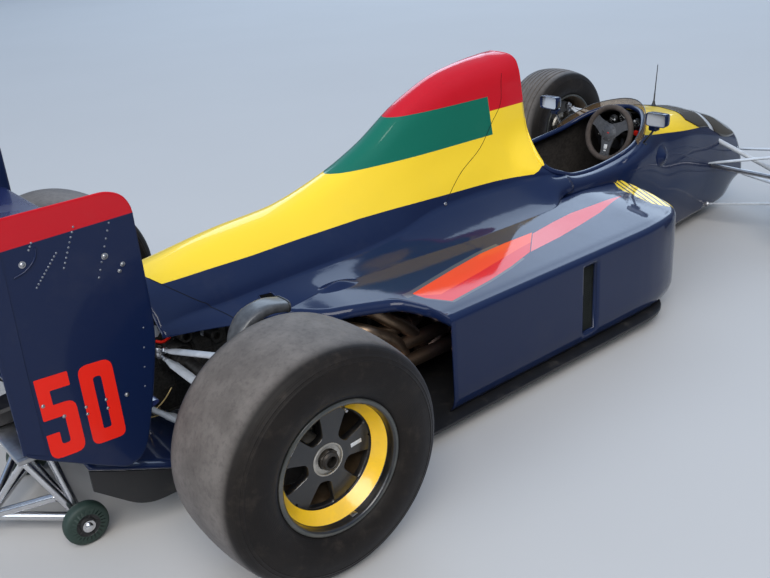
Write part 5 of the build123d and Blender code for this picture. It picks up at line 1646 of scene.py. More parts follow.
# casting ribs, joint flanges and bolts
for x in (-20, 130, 250, 430, 560):
    for sg in (-1, 1):
        b.box((x, sg * 112, 250), (9, 8, 240 if x > 0 else 180), bev=3)
for z in (150, 230, 310):
    for sg in (-1, 1):
        b.box((260, sg * 111, z), (780 if z == 310 else 640, 6, 8), bev=2.5)
for x0 in (190, 620):
    pts = [(x0, sg * 114, z) for sg in (-1, 1) for z in np.linspace(110, 380, 8)]
    b.box((x0, 0, 245), (16, 236, 300), bev=5)
    for p in pts:
        b.hexa((p[0] + 8, p[1] * 0.97, p[2]), (1, 0, 0), 6, 6)
for sg in (-1, 1):
    b.rev((0, sg * 104, 330), (0, sg, 0), [(0, 66), (10, 66), (14, 62), (16, 56), (30, 50), (40, 44), (42, 40), (42, 24)], 48)
    for k in range(8):
        a = 2 * math.pi * k / 8
        b.hexa((58 * math.cos(a), sg * 117, 330 + 58 * math.sin(a)), (0, sg, 0), 5.5, 5)
for x, z in ((19, 405), (119, 371)):
    for sg in (-1, 1):
        b.rev((x, sg * 110, z), (0, sg, 0), [(0, 22), (46, 20), (58, 20), (60, 18), (60, 12), (44, 11), (44, 0)], 26)
b.piece("gearbox_case", M["cast"], replaces="gearbox", slot="cast_alloy", angle=35)
# crash structure and rain light
b = Bag()
rings = []
for t in np.linspace(0, 1, 20):
    x = -300 - 150 * t
    z0, z1 = 292, 342 - 7 * t
    w = 60 - 4 * t
    rings.append([(x, -w, z0 + 6), (x, -w + 6, z0), (x, w - 6, z0), (x, w, z0 + 6), (x, w, z1 - 8), (x, w - 8, z1), (x, -w + 8, z1), (x, -w, z1 - 8)])
b.loft(rings)
rings = []
for t in np.linspace(0, 1, 10):
    x = -440 - 118 * t
    z0, z1 = 279.5, 333 - 4 * t
    w = 56 - 10 * t
    rings.append([(x, -w, z0 + 6), (x, -w + 6, z0), (x, w - 6, z0), (x, w, z0 + 6), (x, w, z1 - 8), (x, w - 8, z1), (x, -w + 8, z1), (x, -w, z1 - 8)])
b.loft(rings)
b.piece("tail_structure", M["black"], slot="black_composite", angle=40)
b = Bag()
b.box((-557, 0, 306), (8, 74, 34), bev=4)
LIGHT = make_plain("lamp_red", (0.30, 0.006, 0.006), (0.42, 0.012, 0.010), (0.12, 0.25), scale=220, bump=0.0004, coat=0.5)
b.piece("rear_lamp", LIGHT, slot="black_plastic", angle=40)

# springs and dampers over the gearbox, with rockers
SPRING = make_plain("spring_paint", (0.55, 0.42, 0.02), (0.62, 0.5, 0.04), (0.35, 0.5), scale=80, coat=0.3)
b = Bag()
b.mi = 0
for sg in (-1, 1):
    p, q = V(150, sg * 62, 424), V(400, sg * 70, 428)
    d = (q - p) / np.linalg.norm(q - p)
    b.cyl(p, p + d * 90, 17, 24, 2)
    b.cyl(p + d * 90, q, 8, 16, 1)
    b.cyl(p + d * 30, p + d * 38, 31, 30, 2)
    b.cyl(q - d * 34, q - d * 26, 31, 30, 2)
    b.cyl(q - d * 8, q + d * 6, 12, 16, 2)
b.piece("rear_dampers", M["alu"], slot="aluminium", angle=35)
b = Bag()
for sg in (-1, 1):
    p, q = V(150, sg * 62, 424), V(400, sg * 70, 428)
    d = (q - p) / np.linalg.norm(q - p)
    u = np.cross(d, V(0, 0, 1))
    u /= np.linalg.norm(u)
    w = np.cross(u, d)
    s0, s1 = 40, np.linalg.norm(q - p) - 36
    path = [p + d * (s0 + (s1 - s0) * t) + (u * math.cos(t * 2 * math.pi * 8) + w * math.sin(t * 2 * math.pi * 8)) * 25 for t in np.linspace(0, 1, 8 * 26)]
    b.tube(path, 4.2, 8)
b.piece("rear_springs", SPRING, slot="steel", angle=60)
b = Bag()
for sg in (-1, 1):
    out = round_poly([(90, 360), (100, 440), (150, 440), (150, 400), (120, 350)], 12, 5)
    b.prism(out, (0, sg * 86, 0), (1, 0, 0), (0, 0, 1), (0, sg, 0), 8, 1.5)
    b.prism(out, (0, sg * 104, 0), (1, 0, 0), (0, 0, 1), (0, sg, 0), 8, 1.5)
    b.cyl((104, sg * 78, 372), (104, sg * 122, 372), 9, 20, 1.5)
    b.cyl((140, sg * 52, 424), (140, sg * 118, 424), 6, 16, 1)
b.piece("rear_rockers", M["alu"], slot="aluminium", angle=35)

# brass fluid lines, a red hose end and a drilled bracket on the gearbox side
b = Bag()
BRASS = make_plain("brass_line", (0.42, 0.30, 0.13), (0.55, 0.42, 0.20), (0.3, 0.45), 1.0, scale=80)
for sg in (-1, 1):
    b.mi = 0
    for pts in ([(-126, 118, 187), (-105, 124, 184), (-70, 126, 205), (-40, 122, 232)], [(-130, 118, 160), (-105, 124, 158), (-80, 126, 160)]):
        b.tube(catmull([(x, sg * y, z) for x, y, z in pts], 5), 2.6, 10)
    b.cyl((-96, sg * 112, 172), (-96, sg * 134, 172), 7, 16, 1)
    b.hexa((-80, sg * 126, 160), (0, sg, 0), 7, 8)
    b.mi = 1
    b.tube(catmull([(-60, sg * 118, 402), (-44, sg * 130, 398), (-28, sg * 132, 402), (-8, sg * 124, 412)], 5), 5, 12)
    b.mi = 2
    o_ = [(-70, 470), (-36, 440), (-56, 418), (-74, 424)]
    b.prism(o_ if sg > 0 else o_[::-1], (0, sg * 124, 0), (1, 0, 0), (0, 0, 1), (0, sg, 0), 4, 1)
b.piece("gearbox_lines", [BRASS, RED, M["alu"]], slot="steel", angle=40)

# ------------------------------------------------------------------ exhausts, three a side into one tail pipe
def exhaust_material():
    m = Mat("exhaust_tint")
    n1, n2 = m.noise(9, 5, 0.6), m.noise(60, 4, 0.6)
    heat = (m.x - 360.0) / 700.0
    c = m.mix(n1.step(0.3, 0.7), (0.27, 0.19, 0.125), (0.16, 0.112, 0.078))
    c = m.mix((heat * 0.9 + n1 * 0.3 - 0.15).step(0.2, 0.9), c, (0.16, 0.13, 0.16))
    c = m.mix(n2.step(0.55, 0.8) * 0.4, c, (0.06, 0.045, 0.035))
    m.color(c)
    m.metal(1.0)
    m.rough(0.26 + n1 * 0.22 + n2 * 0.12)
    m.bump(n2, 0.0003, 0.6)
    return m.m


EXM = exhaust_material()
PIPES = [(300, 760, 430), (245, 900, 455), (190, 1040, 480)]
b = Bag()


def fillet(pts, r, n=9):
    out = [np.array(pts[0], float)]
    for i in range(1, len(pts) - 1):
        p, a, c = (np.array(q, float) for q in (pts[i], pts[i - 1], pts[i + 1]))
        u, v = a - p, c - p
        lu, lv = np.linalg.norm(u), np.linalg.norm(v)
        u, v = u / lu, v / lv
        ang = math.acos(np.clip(np.dot(u, v), -1, 1))
        t = min(r / math.tan(ang / 2), lu * 0.49, lv * 0.49)
        rr = t * math.tan(ang / 2)
        bis = (u + v) / np.linalg.norm(u + v)
        cen = p + bis * rr / math.sin(ang / 2)
        p0, p1 = p + u * t, p + v * t
        for k in range(n + 1):
            s = k / n
            q = p0 + (p1 - p0) * s
            d = q - cen
            out.append(cen + d / np.linalg.norm(d) * rr)
    out.append(np.array(pts[-1], float))
    return out


for sg in (-1, 1):
    for z, x, reach in PIPES:
        path = fillet([(x, sg * 190, z), (x, sg * reach, z), (520, sg * reach, z), (372, sg * (250 + (reach - 430) * 0.2), z + (245 - z) * 0.10)], 80)
        b.tube(path, 24, 22)
        b.rev((x, sg * 188, z), (0, sg, 0), [(0, 24), (0, 37), (7, 37), (8, 36), (8, 24)], 30)
        # weld beads at the bends
        for p, q in ((path[1], path[2]), (path[10], path[11]), (path[11], path[12])):
            d = (np.array(q) - np.array(p))
            d = d / np.linalg.norm(d)
            b.rev(np.array(p) - d * 1.5, d, [(0, 23.8), (0.8, 25.2), (2.2, 25.2), (3, 23.8)], 26)
        b.rev((372 + 14, sg * (262 + (reach - 430) * 0.25), z), (-0.55, -sg * 0.83, 0), [(0, 24), (0, 26), (12, 26), (12, 21.5), (0, 21)], 26)
# header bends that fill the space behind the pods
for sg in (-1, 1):
    for pts, r in (([(470, 330, 402), (538, 430, 389), (588, 445, 349), (640, 450, 309), (688, 448, 261), (716, 440, 212), (722, 430, 162), (700, 380, 120)], 23),
                   ([(440, 350, 350), (493, 452, 345), (540, 462, 317), (579, 464, 291), (614, 462, 250), (634, 455, 205), (628, 440, 165)], 21),
                   ([(760, 300, 330), (805, 380, 300), (822, 425, 250), (815, 432, 205), (770, 425, 176)], 21)):
        c = catmull([(x, sg * y, z) for x, y, z in pts], 8)
        b.tube(c, r, 22)
b.piece("exhaust_pipes", EXM, replaces="exhausts", slot="exhaust_steel", angle=40)

# ------------------------------------------------------------------ engine
b = Bag()
b.box((1130, 0, 257), (858, 374, 364), bev=10)
for x in (780, 900, 1020, 1140, 1260, 1380, 1500):
    for sg in (-1, 1):
        b.box((x, sg * 186, 250), (12, 10, 330), bev=3)
b.piece("engine_case", M["cast"], replaces="engine_block", slot="cast_alloy", angle=35)
b = Bag()
for sg in (-1, 1):
    axes = [(1, 0, 0), (0, math.cos(math.radians(38)), -sg * math.sin(math.radians(38))), (0, sg * math.sin(math.radians(38)), math.cos(math.radians(38)))]
    b.box((1130, sg * 92, 486), (776, 112, 96), axes=axes, bev=9)
    for k in range(12):
        x = 770 + k * 65
        b.hexa((x, sg * 92 + sg * 0.615 * 50 + 38, 486 + 0.79 * 48 - 20 * sg * 0), (0, sg * 0.615, 0.79), 6, 6)
b.piece("engine_heads", M["black"], slot="cast_alloy", angle=35)
b = Bag()
for k in range(6):
    for sg in (-1, 1):
        x = 820 + k * 108 + (30 if sg > 0 else 0)
        b.rev((x, sg * 22, 550), (0, 0, 1), [(0, 20), (40, 20), (62, 22), (80, 27), (86, 31), (87, 29), (80, 24), (60, 19), (0, 17)], 26)
b.piece("engine_trumpets", M["alu"], slot="aluminium", angle=40)

# ------------------------------------------------------------------ radiators in the pods
b = Bag()
for sg in (-1, 1):
    A = [V(1235, sg * 300, 0), V(1290, sg * 300, 0), V(1400, sg * 635, 0), V(1345, sg * 635, 0)]
    along = (A[3] - A[0]) / np.linalg.norm(A[3] - A[0])
    nrm = V(along[1], -along[0], 0) * (-sg)
    L = np.linalg.norm(A[3] - A[0])
    b.mi = 0
    for k in range(34):
        z = 82 + k * 8.8
        for side in (0, 1):
            base = A[0] if side == 0 else A[1]
            m = 80
            rowA, rowB = [], []
            for i in range(m + 1):
                p = base + along * (10 + (L - 20) * i / m)
                rowA.append(p + V(0, 0, z + (3.6 if i % 2 else 0.4)))
                rowB.append(p + nrm * (0 if side else 0) + V(0, 0, z + (3.6 if i % 2 else 0.4)) + (V(10, 0, 0) if side == 0 else V(-10, 0, 0)))
            b.grid([rowA, rowB])
    b.mi = 1
    for k in range(35):
        z = 79.5 + k * 8.8
        b.box((A[0] + A[1] + A[2] + A[3]) / 4 + V(0, 0, z), (L - 18, 44, 1.8), axes=[along, nrm, (0, 0, 1)])
    b.mi = 2
    for q in (0.0, 1.0):
        c = (A[0] + A[1]) / 2 * (1 - q) + (A[2] + A[3]) / 2 * q + V(0, 0, 227)
        b.box(c + along * (8 if q == 0 else -8), (20, 52, 312), axes=[along, nrm, (0, 0, 1)], bev=6)
b.piece("radiator_cores", [M["fins"], M["alu"], M["alu"]], replaces="radiators", slot="aluminium_fins", angle=30, merge=0)

# ------------------------------------------------------------------ front suspension
KY, KT, KL = 770.0, 430.0, 190.0
FP = [((3105, 128, 290), KT), ((2759, 170, 300), KT), ((3105, 145, 178), KL), ((2783, 178, 95), KL)]
for tag, sg in (("right", -1), ("left", 1)):
    b = Bag()
    for p, z in FP:
        arm(b, (p[0], sg * p[1], p[2]), (WB, sg * KY, z), 30, 13)
    for z in (KT, KL):
        b.mi = 1
        b.rev((WB, sg * KY, z - 14), (0, 0, 1), [(0, 8), (0, 16), (2, 18), (26, 18), (28, 16), (28, 8)], 30)
        b.hexa((WB, sg * KY, z + 14), (0, 0, 1), 10, 7)
        b.cyl((WB, sg * KY, z - 60 if z == KT else z), (WB, sg * KY, z if z == KT else z + 60), 9.9, 20, 1)
        b.mi = 0
    p, q = V(2885, sg * 140, 400), V(WB, sg * (KY - 58), KL + 12)
    d = (q - p) / np.linalg.norm(q - p)
    b.tube([p, p + d * 60, q - d * 46, q - d * 30], [10.5, 11, 11, 8], 18)
    b.mi = 1
    b.cyl(q - d * 34, q - d * 6, 6.5, 12, 1)
    b.hexa(q - d * 30, d, 12, 8)
    b.mi = 0
    rod_end(b, q, (1, 0, 0), 13, 13)
    for p, z in FP:
        a = V(p[0], sg * p[1], p[2])
        rod_end(b, a, (0.2, 0, 1), 12, 13)
        # bracket on the tub
        b.mi = 1
        b.box(a + V(0, -sg * 6, 13), (34, 30, 4), bev=1.5)
        b.box(a + V(0, -sg * 6, -13), (34, 30, 4), bev=1.5)
        b.mi = 0
    b.piece("front_arms_" + tag, [M["grey"], M["steel"], DARKM], replaces=("front_wishbones",) if sg < 0 else (), slot="grey_paint", angle=40)
    # knuckle, turning with the wheel
    b = Bag()
    out = round_poly([(-22, KL + 31), (-22, KT - 31), (22, KT - 31), (22, KL + 31)], 8, 5)
    b.prism([(p[0] + WB, p[1]) for p in out], (0, sg * (KY - 20), 0), (1, 0, 0), (0, 0, 1), (0, sg, 0), 40, 3)
    b.rev((WB, sg * (KY - 20), 310), (0, sg, 0), [(0, 31), (0, 49), (3, 52), (62, 52), (65, 49), (65, 31)], 48)
    b.rev((WB, sg * (KY - 21), 310), (0, sg, 0), [(-2, 31), (-2, 42), (2, 44), (2, 31)], 40)
    for k in range(8):
        a = 2 * math.pi * k / 8
        b.hexa((WB + 44 * math.cos(a), sg * (KY - 20), 310 + 44 * math.sin(a)), (0, -sg, 0), 5, 3.5)
    arm_o = round_poly([(WB - 124, KY - 12), (WB - 124, KY + 12), (WB - 20, KY + 14), (WB, KY + 10), (WB, KY - 10), (WB - 20, KY - 14)], 8, 5)
    b.prism([(p[0], p[1] * sg) for p in arm_o], (0, 0, 266), (1, 0, 0), (0, 1, 0), (0, 0, 1), 10, 1.5)
    b.cyl((WB - 110, sg * KY, 270), (WB - 110, sg * KY, 304), 6, 16, 1)
    b.hexa((WB - 110, sg * KY, 266), (0, 0, -1), 9, 5)
    b.piece("front_knuckle_" + tag, M["cast"], body="steer_" + tag, replaces="knuckle_" + tag, slot="cast_alloy", angle=40)
    # caliper turning with the knuckle
    b = Bag()
    y0, y1 = sg * 812, sg * 864
    rings = []
    for a in np.linspace(math.radians(-35), math.radians(35), 14):
        ring = []
        for yy, rr in ((y0, 92), (y0, 143), (y0 + sg * 6, 151), (y1 - sg * 6, 151), (y1, 143), (y1, 92), (y1 - sg * 9, 92), (y1 - sg * 9, 141), (y0 + sg * 9, 141), (y0 + sg * 9, 92)):
            ring.append((WB - rr * math.cos(a), yy, 310 + rr * math.sin(a)))
        rings.append(ring)
    b.loft(rings)
    b.box((WB - 60, sg * 805, 310), (70, 16, 40), bev=3)
    b.piece("front_caliper_" + tag, M["cast"], body="steer_" + tag, slot="cast_alloy", angle=40)

# steering rack with its sliding bar, gaiters and end eyes
b = Bag()
b.cyl((2797, -748, 290), (2797, 748, 290), 10.9, 24, 1.5)
for sg in (-1, 1):
    b.rev((2797, sg * 770, 284), (0, 0, 1), [(0, 15.2), (0, 23), (1.5, 24), (10.5, 24), (12, 23), (12, 15.2), (0, 15.2)], 40)
    b.hexa((2797, sg * 720, 290), (0, sg, 0), 15, 16)
b.piece("rack_bar", M["steel"], body="rack", replaces="steering_rack", slot="steel", angle=35)
# ------------------------------------------------------------------ cockpit
TILT = math.radians(18)
CAXIS = V(math.cos(TILT), 0, -math.sin(TILT))
CUP = V(math.sin(TILT), 0, math.cos(TILT))
CL = V(0, 1, 0)
SW = V(2273, 0, 530)


def sw(u, v, d=0.0):
    """Point on the steering wheel: u to the left, v up the wheel, d forward along the column."""
    return SW + CL * u + CUP * v + CAXIS * d


b = Bag()
n = 120
rows = []
for k in range(n):
    a = 2 * math.pi * k / n
    c = sw(math.cos(a) * 115, math.sin(a) * 115)
    rad_ = CL * math.cos(a) + CUP * math.sin(a)
    # finger swells on the back of the rim near the top
    swell = 1.0 + 0.05 * math.sin(a * 22) * (0.5 + 0.5 * math.cos(2 * a))
    rows.append([c + (rad_ * math.cos(t) * 12.6 + CAXIS * math.sin(t) * 13.0 * swell) for t in np.linspace(0, 2 * math.pi, 17)[:-1]])
b.grid(rows, wrap_u=True, wrap_v=True)
b.piece("steering_wheel_rim", M["suede"], body="steering", replaces="steering_wheel", slot="suede", angle=60)
# stitched seam on the inner side of the rim
b = Bag()
for k in range(150):
    a = 2 * math.pi * k / 150
    a2 = a + 0.02
    r_ = CL * math.cos(a) + CUP * math.sin(a)
    r2 = CL * math.cos(a2) + CUP * math.sin(a2)
    p, q = SW + r_ * (115 - 12.4) + CAXIS * -3.0, SW + r2 * (115 - 12.4) + CAXIS * 3.0
    b.tube([p, (p + q) / 2 - r_ * 0.7, q], 0.9, 5)
b.piece("steering_wheel_stitching", M["black"], body="steering", slot="suede", angle=60)
SPOKEM = make_plain("spoke_alloy", (0.095, 0.094, 0.096), (0.145, 0.143, 0.145), (0.34, 0.5), 0.5, scale=150)
b = Bag()
for t0 in (math.radians(30), math.radians(150), math.radians(270)):
    ru = lambda r, off: sw(math.cos(t0) * r - math.sin(t0) * off, math.sin(t0) * r + math.cos(t0) * off)
    prof = catmull([(20, 34), (40, 30), (62, 25), (84, 23), (106, 28)], 5)
    up = [ru(p[0], p[1]) for p in prof]
    dn = [ru(p[0], -p[1]) for p in prof]
    loop = up + dn[::-1]
    b.loft([[q + CAXIS * -2.2 for q in loop], [q + CAXIS * -3.2 + (SW - q) * 0 for q in loop], [q + CAXIS * 3.2 for q in loop]])
    for off in (-11, 11):
        b.dome(ru(92, off) - CAXIS * 3.0, -CAXIS, 3.6, 1.6, 12)
b.rev(sw(0, 0, -6), CAXIS, [(0, 0), (0, 24), (1, 27), (4, 40), (9, 42), (12, 40), (12, 0)], 56)
for k in range(6):
    a = 2 * math.pi * k / 6 + 0.2
    b.hexa(sw(33 * math.cos(a), 33 * math.sin(a), -4), -CAXIS, 4.2, 3)
b.rev(sw(0, 0, 6), CAXIS, [(0, 40), (8, 34), (14, 25), (40, 24), (42, 20), (44, 10), (150, 9.9), (150, 0)], 40)
b.piece("steering_wheel_centre", SPOKEM, body="steering", slot="aluminium", angle=40)
b = Bag()
b.box(sw(0, -62, -4.0), (17, 20, 1.2), axes=[CL, CUP, CAXIS], bev=0.5)
b.box(sw(0, -80, -4.0), (11, 7, 1.2), axes=[CL, CUP, CAXIS], bev=0.5)
b.piece("steering_wheel_plate", WHITE, body="steering", slot="aluminium", angle=40)
b = Bag()
b.box(sw(0, 0, -7.0), (9, 4, 1.4), axes=[CL, CUP, CAXIS], bev=0.5)
b.piece("steering_wheel_hub_dot", RED, body="steering", slot="black_plastic", angle=40)
b = Bag()
b.rev(sw(0, 0, 46), CAXIS, [(0, 10.3), (0, 16), (1.5, 17), (12, 17), (12, 14.5), (226, 14.5), (228, 17), (238, 17), (240, 15), (240, 0)], 40)
b.box(sw(0, -34, 120), (20, 50, 20), axes=[CL, CUP, CAXIS], bev=4)
b.box(sw(0, -34, 260), (20, 50, 20), axes=[CL, CUP, CAXIS], bev=4)
b.piece("steering_column_tube", M["black"], replaces="steering_column", slot="steel", angle=40)

# ---- dash: panel, binnacle and dials
b = Bag()
dpo = round_poly([(-150, 420), (150, 420), (185, 500), (120, 548), (-120, 548), (-185, 500)], 18, 6)
hole = [(62 * math.cos(t), 490 + 62 * math.sin(t)) for t in np.linspace(0, 2 * math.pi, 49)[:-1]]


def on_outline(poly, c, ang):
    best = None
    dx, dz = math.cos(ang), math.sin(ang)
    for i in range(len(poly)):
        (x0, z0), (x1, z1) = poly[i - 1], poly[i]
        ex, ez = x1 - x0, z1 - z0
        den = dx * ez - dz * ex
        if abs(den) < 1e-9:
            continue
        t = ((x0 - c[0]) * ez - (z0 - c[1]) * ex) / den
        s = ((x0 - c[0]) * dz - (z0 - c[1]) * dx) / den
        if t > 0 and -1e-6 <= s <= 1 + 1e-6 and (best is None or t < best):
            best = t
    return (c[0] + dx * best, c[1] + dz * best)


outr = [on_outline(dpo, (0, 490), t) for t in np.linspace(0, 2 * math.pi, 97)[:-1]]
holr = [(60 * math.cos(t), 490 + 60 * math.sin(t)) for t in np.linspace(0, 2 * math.pi, 97)[:-1]]
b.grid([[(2400, y, z) for y, z in holr], [(2398.6, y, z) for y, z in outr], [(2405.5, y, z) for y, z in outr], [(2406, y, z) for y, z in holr]], wrap_u=True, wrap_v=True)
b.piece("dash_skin", M["black"], replaces="dash_panel", slot="black_composite", angle=40)
b = Bag()
DIAL = make_plain("dial_face", (0.012, 0.012, 0.013), (0.02, 0.02, 0.022), (0.2, 0.3), scale=120, coat=0.6)
for y, z, r in ((0, 578, 31), (-66, 562, 20), (66, 562, 20), (-108, 512, 17), (108, 512, 17)):
    b.mi = 0
    b.rev((2400, y, z), (-1, 0, -0.15), [(0, r), (16, r), (18, r - 1.5), (18, r - 3.5), (15, r - 4)], 40)
    b.mi = 1
    b.rev((2400, y, z), (-1, 0, -0.15), [(15, r - 3.8), (15, 0)], 36)
    b.mi = 2
    nrm = V(-1, 0, -0.15) / np.linalg.norm([1, 0.15])
    up_ = V(-0.15, 0, 1) / np.linalg.norm([1, 0.15])
    for k in range(11):
        a = math.radians(220 - 26 * k)
        c = V(2400, y, z) + nrm * 15.3 + (V(0, -1, 0) * math.cos(a) + up_ * math.sin(a)) * (r - 7)
        dr = V(0, -1, 0) * math.cos(a) + up_ * math.sin(a)
        b.box(c, (4.5, 1.1, 0.5), axes=[dr, np.cross(nrm, dr), nrm])
    a = math.radians(150)
    dr = V(0, -1, 0) * math.cos(a) + up_ * math.sin(a)
    b.box(V(2400, y, z) + nrm * 15.9 + dr * (r * 0.3), (r * 0.75, 1.4, 0.6), axes=[dr, np.cross(nrm, dr), nrm])
b.piece("dash_dials", [M["plastic"], DIAL, WHITE], slot="black_plastic", angle=40)
b = Bag()
for y, z in ((-35, 530), (35, 530), (-140, 478), (140, 478), (-120, 450), (120, 450)):
    b.cyl((2399, y, z), (2390, y, z), 7, 18, 1.5)
    b.cyl((2391, y, z), (2378, y + 2, z + 5), 2.6, 10, 0.8)
b.piece("dash_switches", M["steel"], slot="steel", angle=40)
b = Bag()
b.rev((2399, -62, 514), (-1, 0, 0), [(0, 9), (6, 9), (8, 13), (14, 13), (17, 9), (18, 0)], 24)
b.rev((2397, -88, 540), (-1, 0, 0), [(0, 7), (9, 7), (13, 6), (14, 0)], 20)
b.piece("dash_red_knobs", RED, slot="black_plastic", angle=40)
b = Bag()
for i, (y, z) in enumerate(((54, 561), (-57, 570), (38, 532), (20, 536))):
    b.mi = 0 if i < 2 else 1
    b.rev((2392 if i > 1 else 2384, y, z), (-1, 0, -0.1), [(0, 5), (4, 5), (6, 3), (6.6, 0)], 16)
b.piece("dash_lamps", [WHITE, make_plain("lamp_green", (0.02, 0.30, 0.14), (0.03, 0.36, 0.17), (0.1, 0.2), scale=80)], slot="black_plastic", angle=50)

# ---- seat: moulded shell with side bolsters, harness and head pad
b = Bag()
sp = catmull([(1640, 402), (1648, 330), (1668, 220), (1700, 132), (1770, 97), (1900, 92), (2050, 90), (2150, 96)], 7)
rows = []
for i, p in enumerate(sp):
    row = []
    for y in np.linspace(-200, 200, 25):
        u = abs(y) / 200
        lift = 90 * max(u - 0.55, 0) ** 2 / 0.2 * (0.5 if p[0] > 1900 else 1.0)
        if p[0] < 1700:
            row.append((p[0] + lift * 0.9, y, p[1]))
        else:
            row.append((p[0] + 0.2 * lift, y, p[1] + lift))
    rows.append(row)
b.grid(rows)
b.piece("seat_shell", make_plain("seat_cloth", (0.012, 0.012, 0.013), (0.024, 0.023, 0.023), (0.75, 0.95), scale=260, bump=0.0005),
        replaces="seat", slot="suede", angle=60, solid=7, even=False)
b = Bag()
for sg in (-1, 1):
    out = round_poly([(1640, 400), (1690, 95), (2150, 88), (2150, 200), (1800, 300)], 30, 7)
    b.prism(out, (0, sg * 201, 0), (1, 0, 0), (0, 0, 1), (0, sg, 0), 10, 3)
b.piece("seat_sides", M["black"], slot="suede", angle=40)
BELT = make_plain("belt_web", (0.015, 0.02, 0.07), (0.025, 0.03, 0.10), (0.7, 0.9), scale=400, bump=0.0004)
b = Bag()
for sg in (-1, 1):
    for path in ([(1632, sg * 60, 470), (1660, sg * 64, 440), (1672, sg * 60, 360), (1690, sg * 50, 260), (1730, sg * 32, 190), (1790, sg * 12, 160)],
                 [(1740, sg * 190, 170), (1760, sg * 150, 148), (1790, sg * 90, 140), (1812, sg * 22, 150)]):
        c = catmull(path, 8)
        b.sweep(c, [(-22, -1), (22, -1), (22, 1), (-22, 1)], up=(0.7, 0, 0.7))
b.piece("harness_belts", BELT, slot="suede", angle=40)
b = Bag()
b.rev((1800, 0, 158), (0.45, 0, 0.9), [(0, 0), (0, 26), (2, 29), (10, 29), (14, 25), (15, 0)], 32)
b.piece("harness_buckle", M["steel"], slot="steel", angle=40)
# head pad on the hoop's front
b = Bag()
rings = []
for t in np.linspace(0, 1, 15):
    z = 575 + 118 * t
    fx = face_x(z) + 1
    w = 98 - 22 * t
    th = 34 * math.sin(math.pi * (0.12 + 0.76 * t)) ** 0.5
    ring = []
    for y in np.linspace(-w, w, 21):
        u = abs(y) / w
        ring.append((fx + th * (1 - u ** 5) ** 0.4 + 3, y, z))
    rings.append(ring)
b.grid(rings)
b.piece("head_pad", make_plain("pad_leather", (0.014, 0.013, 0.013), (0.026, 0.025, 0.024), (0.5, 0.7), scale=180, bump=0.0006), slot="suede", angle=60, solid=3)

# ---- windscreen wrapped round the front of the opening
SCR = [(2180, 225), (2245, 208), (2312, 174), (2364, 134), (2405, 86), (2432, 32)]
TOP = [(2180, 556), (2250, 588), (2350, 632), (2440, 658)]
sc = catmull([(2150, 231)] + SCR + [(2436, 0)], 9)
sc = [p for p in sc if p[0] >= 2180]
full_s = [(p[0], -p[1]) for p in sc] + [(p[0], p[1]) for p in reversed(sc[:-1])]


def deck_z(x, y):
    c = tub_curve(x)
    top = max(range(len(c)), key=lambda i: c[i][0])
    ys = [q[0] for q in c[top:]][::-1]
    zs = [q[1] for q in c[top:]][::-1]
    return float(np.interp(abs(y), ys, zs))


def screen_material():
    m = bpy.data.materials.new("screen_tint")
    m.use_nodes = True
    nt = m.node_tree
    nt.nodes.clear()
    out = nt.nodes.new("ShaderNodeOutputMaterial")
    tr = nt.nodes.new("ShaderNodeBsdfTransparent")
    gl = nt.nodes.new("ShaderNodeBsdfPrincipled")
    gl.inputs["Base Color"].default_value = (0.22, 0.15, 0.085, 1)
    gl.inputs["IOR"].default_value = 1.49
    mx = nt.nodes.new("ShaderNodeMixShader")
    no = nt.nodes.new("ShaderNodeTexNoise")
    no.inputs["Scale"].default_value = 14
    no.inputs["Detail"].default_value = 4
    mr = nt.nodes.new("ShaderNodeMapRange")
    mr.inputs["From Min"].default_value = 0.3
    mr.inputs["From Max"].default_value = 0.8
    mr.inputs["To Min"].default_value = 0.30
    mr.inputs["To Max"].default_value = 0.44
    ro = nt.nodes.new("ShaderNodeMapRange")
    ro.inputs["To Min"].default_value = 0.04
    ro.inputs["To Max"].default_value = 0.12
    nt.links.new(no.outputs["Fac"], mr.inputs["Value"])
    nt.links.new(no.outputs["Fac"], ro.inputs["Value"])
    nt.links.new(ro.outputs["Result"], gl.inputs["Roughness"])
    nt.links.new(mr.outputs["Result"], mx.inputs["Fac"])
    tr.inputs["Color"].default_value = (0.95, 0.88, 0.80, 1)
    nt.links.new(tr.outputs[0], mx.inputs[1])
    nt.links.new(gl.outputs[0], mx.inputs[2])
    nt.links.new(mx.outputs[0], out.inputs[0])
    return m


b = Bag()
rows = []
for x, y in full_s:
    z0 = deck_z(x, y) - 3
    z1 = max(float(np.interp(x, [t[0] for t in TOP], [t[1] for t in TOP])), z0 + 1.0)
    col = []
    for t in np.linspace(0, 1, 9):
        k = 1 - 0.05 * t
        col.append((x - 10 * t * t, y * (1 - 0.035 * t), z0 + (z1 - z0) * t))
    rows.append(col)
b.grid(rows)
b.piece("windscreen_pane", screen_material(), replaces="windscreen", slot="screen", angle=60, solid=2.6, offset=0)
b = Bag()
b.tube([r[-1] for r in rows], 2.0, 8)
b.piece("windscreen_edge", M["black"], slot="black_plastic", angle=60)
b = Bag()
for i in range(3, len(rows) - 3, 6):
    p, q = np.array(rows[i][0]), np.array(rows[i][1])
    t = np.array(rows[i + 1][0]) - np.array(rows[i - 1][0])
    nn = np.cross(t, V(0, 0, 1))
    nn /= np.linalg.norm(nn)
    if np.dot(nn, p - V(2200, 0, p[2])) < 0:
        nn = -nn
    b.dome(p + V(0, 0, 8) + nn * 1.2, nn, 4, 2, 12)
b.piece("windscreen_screws", M["steel"], slot="steel", angle=50)
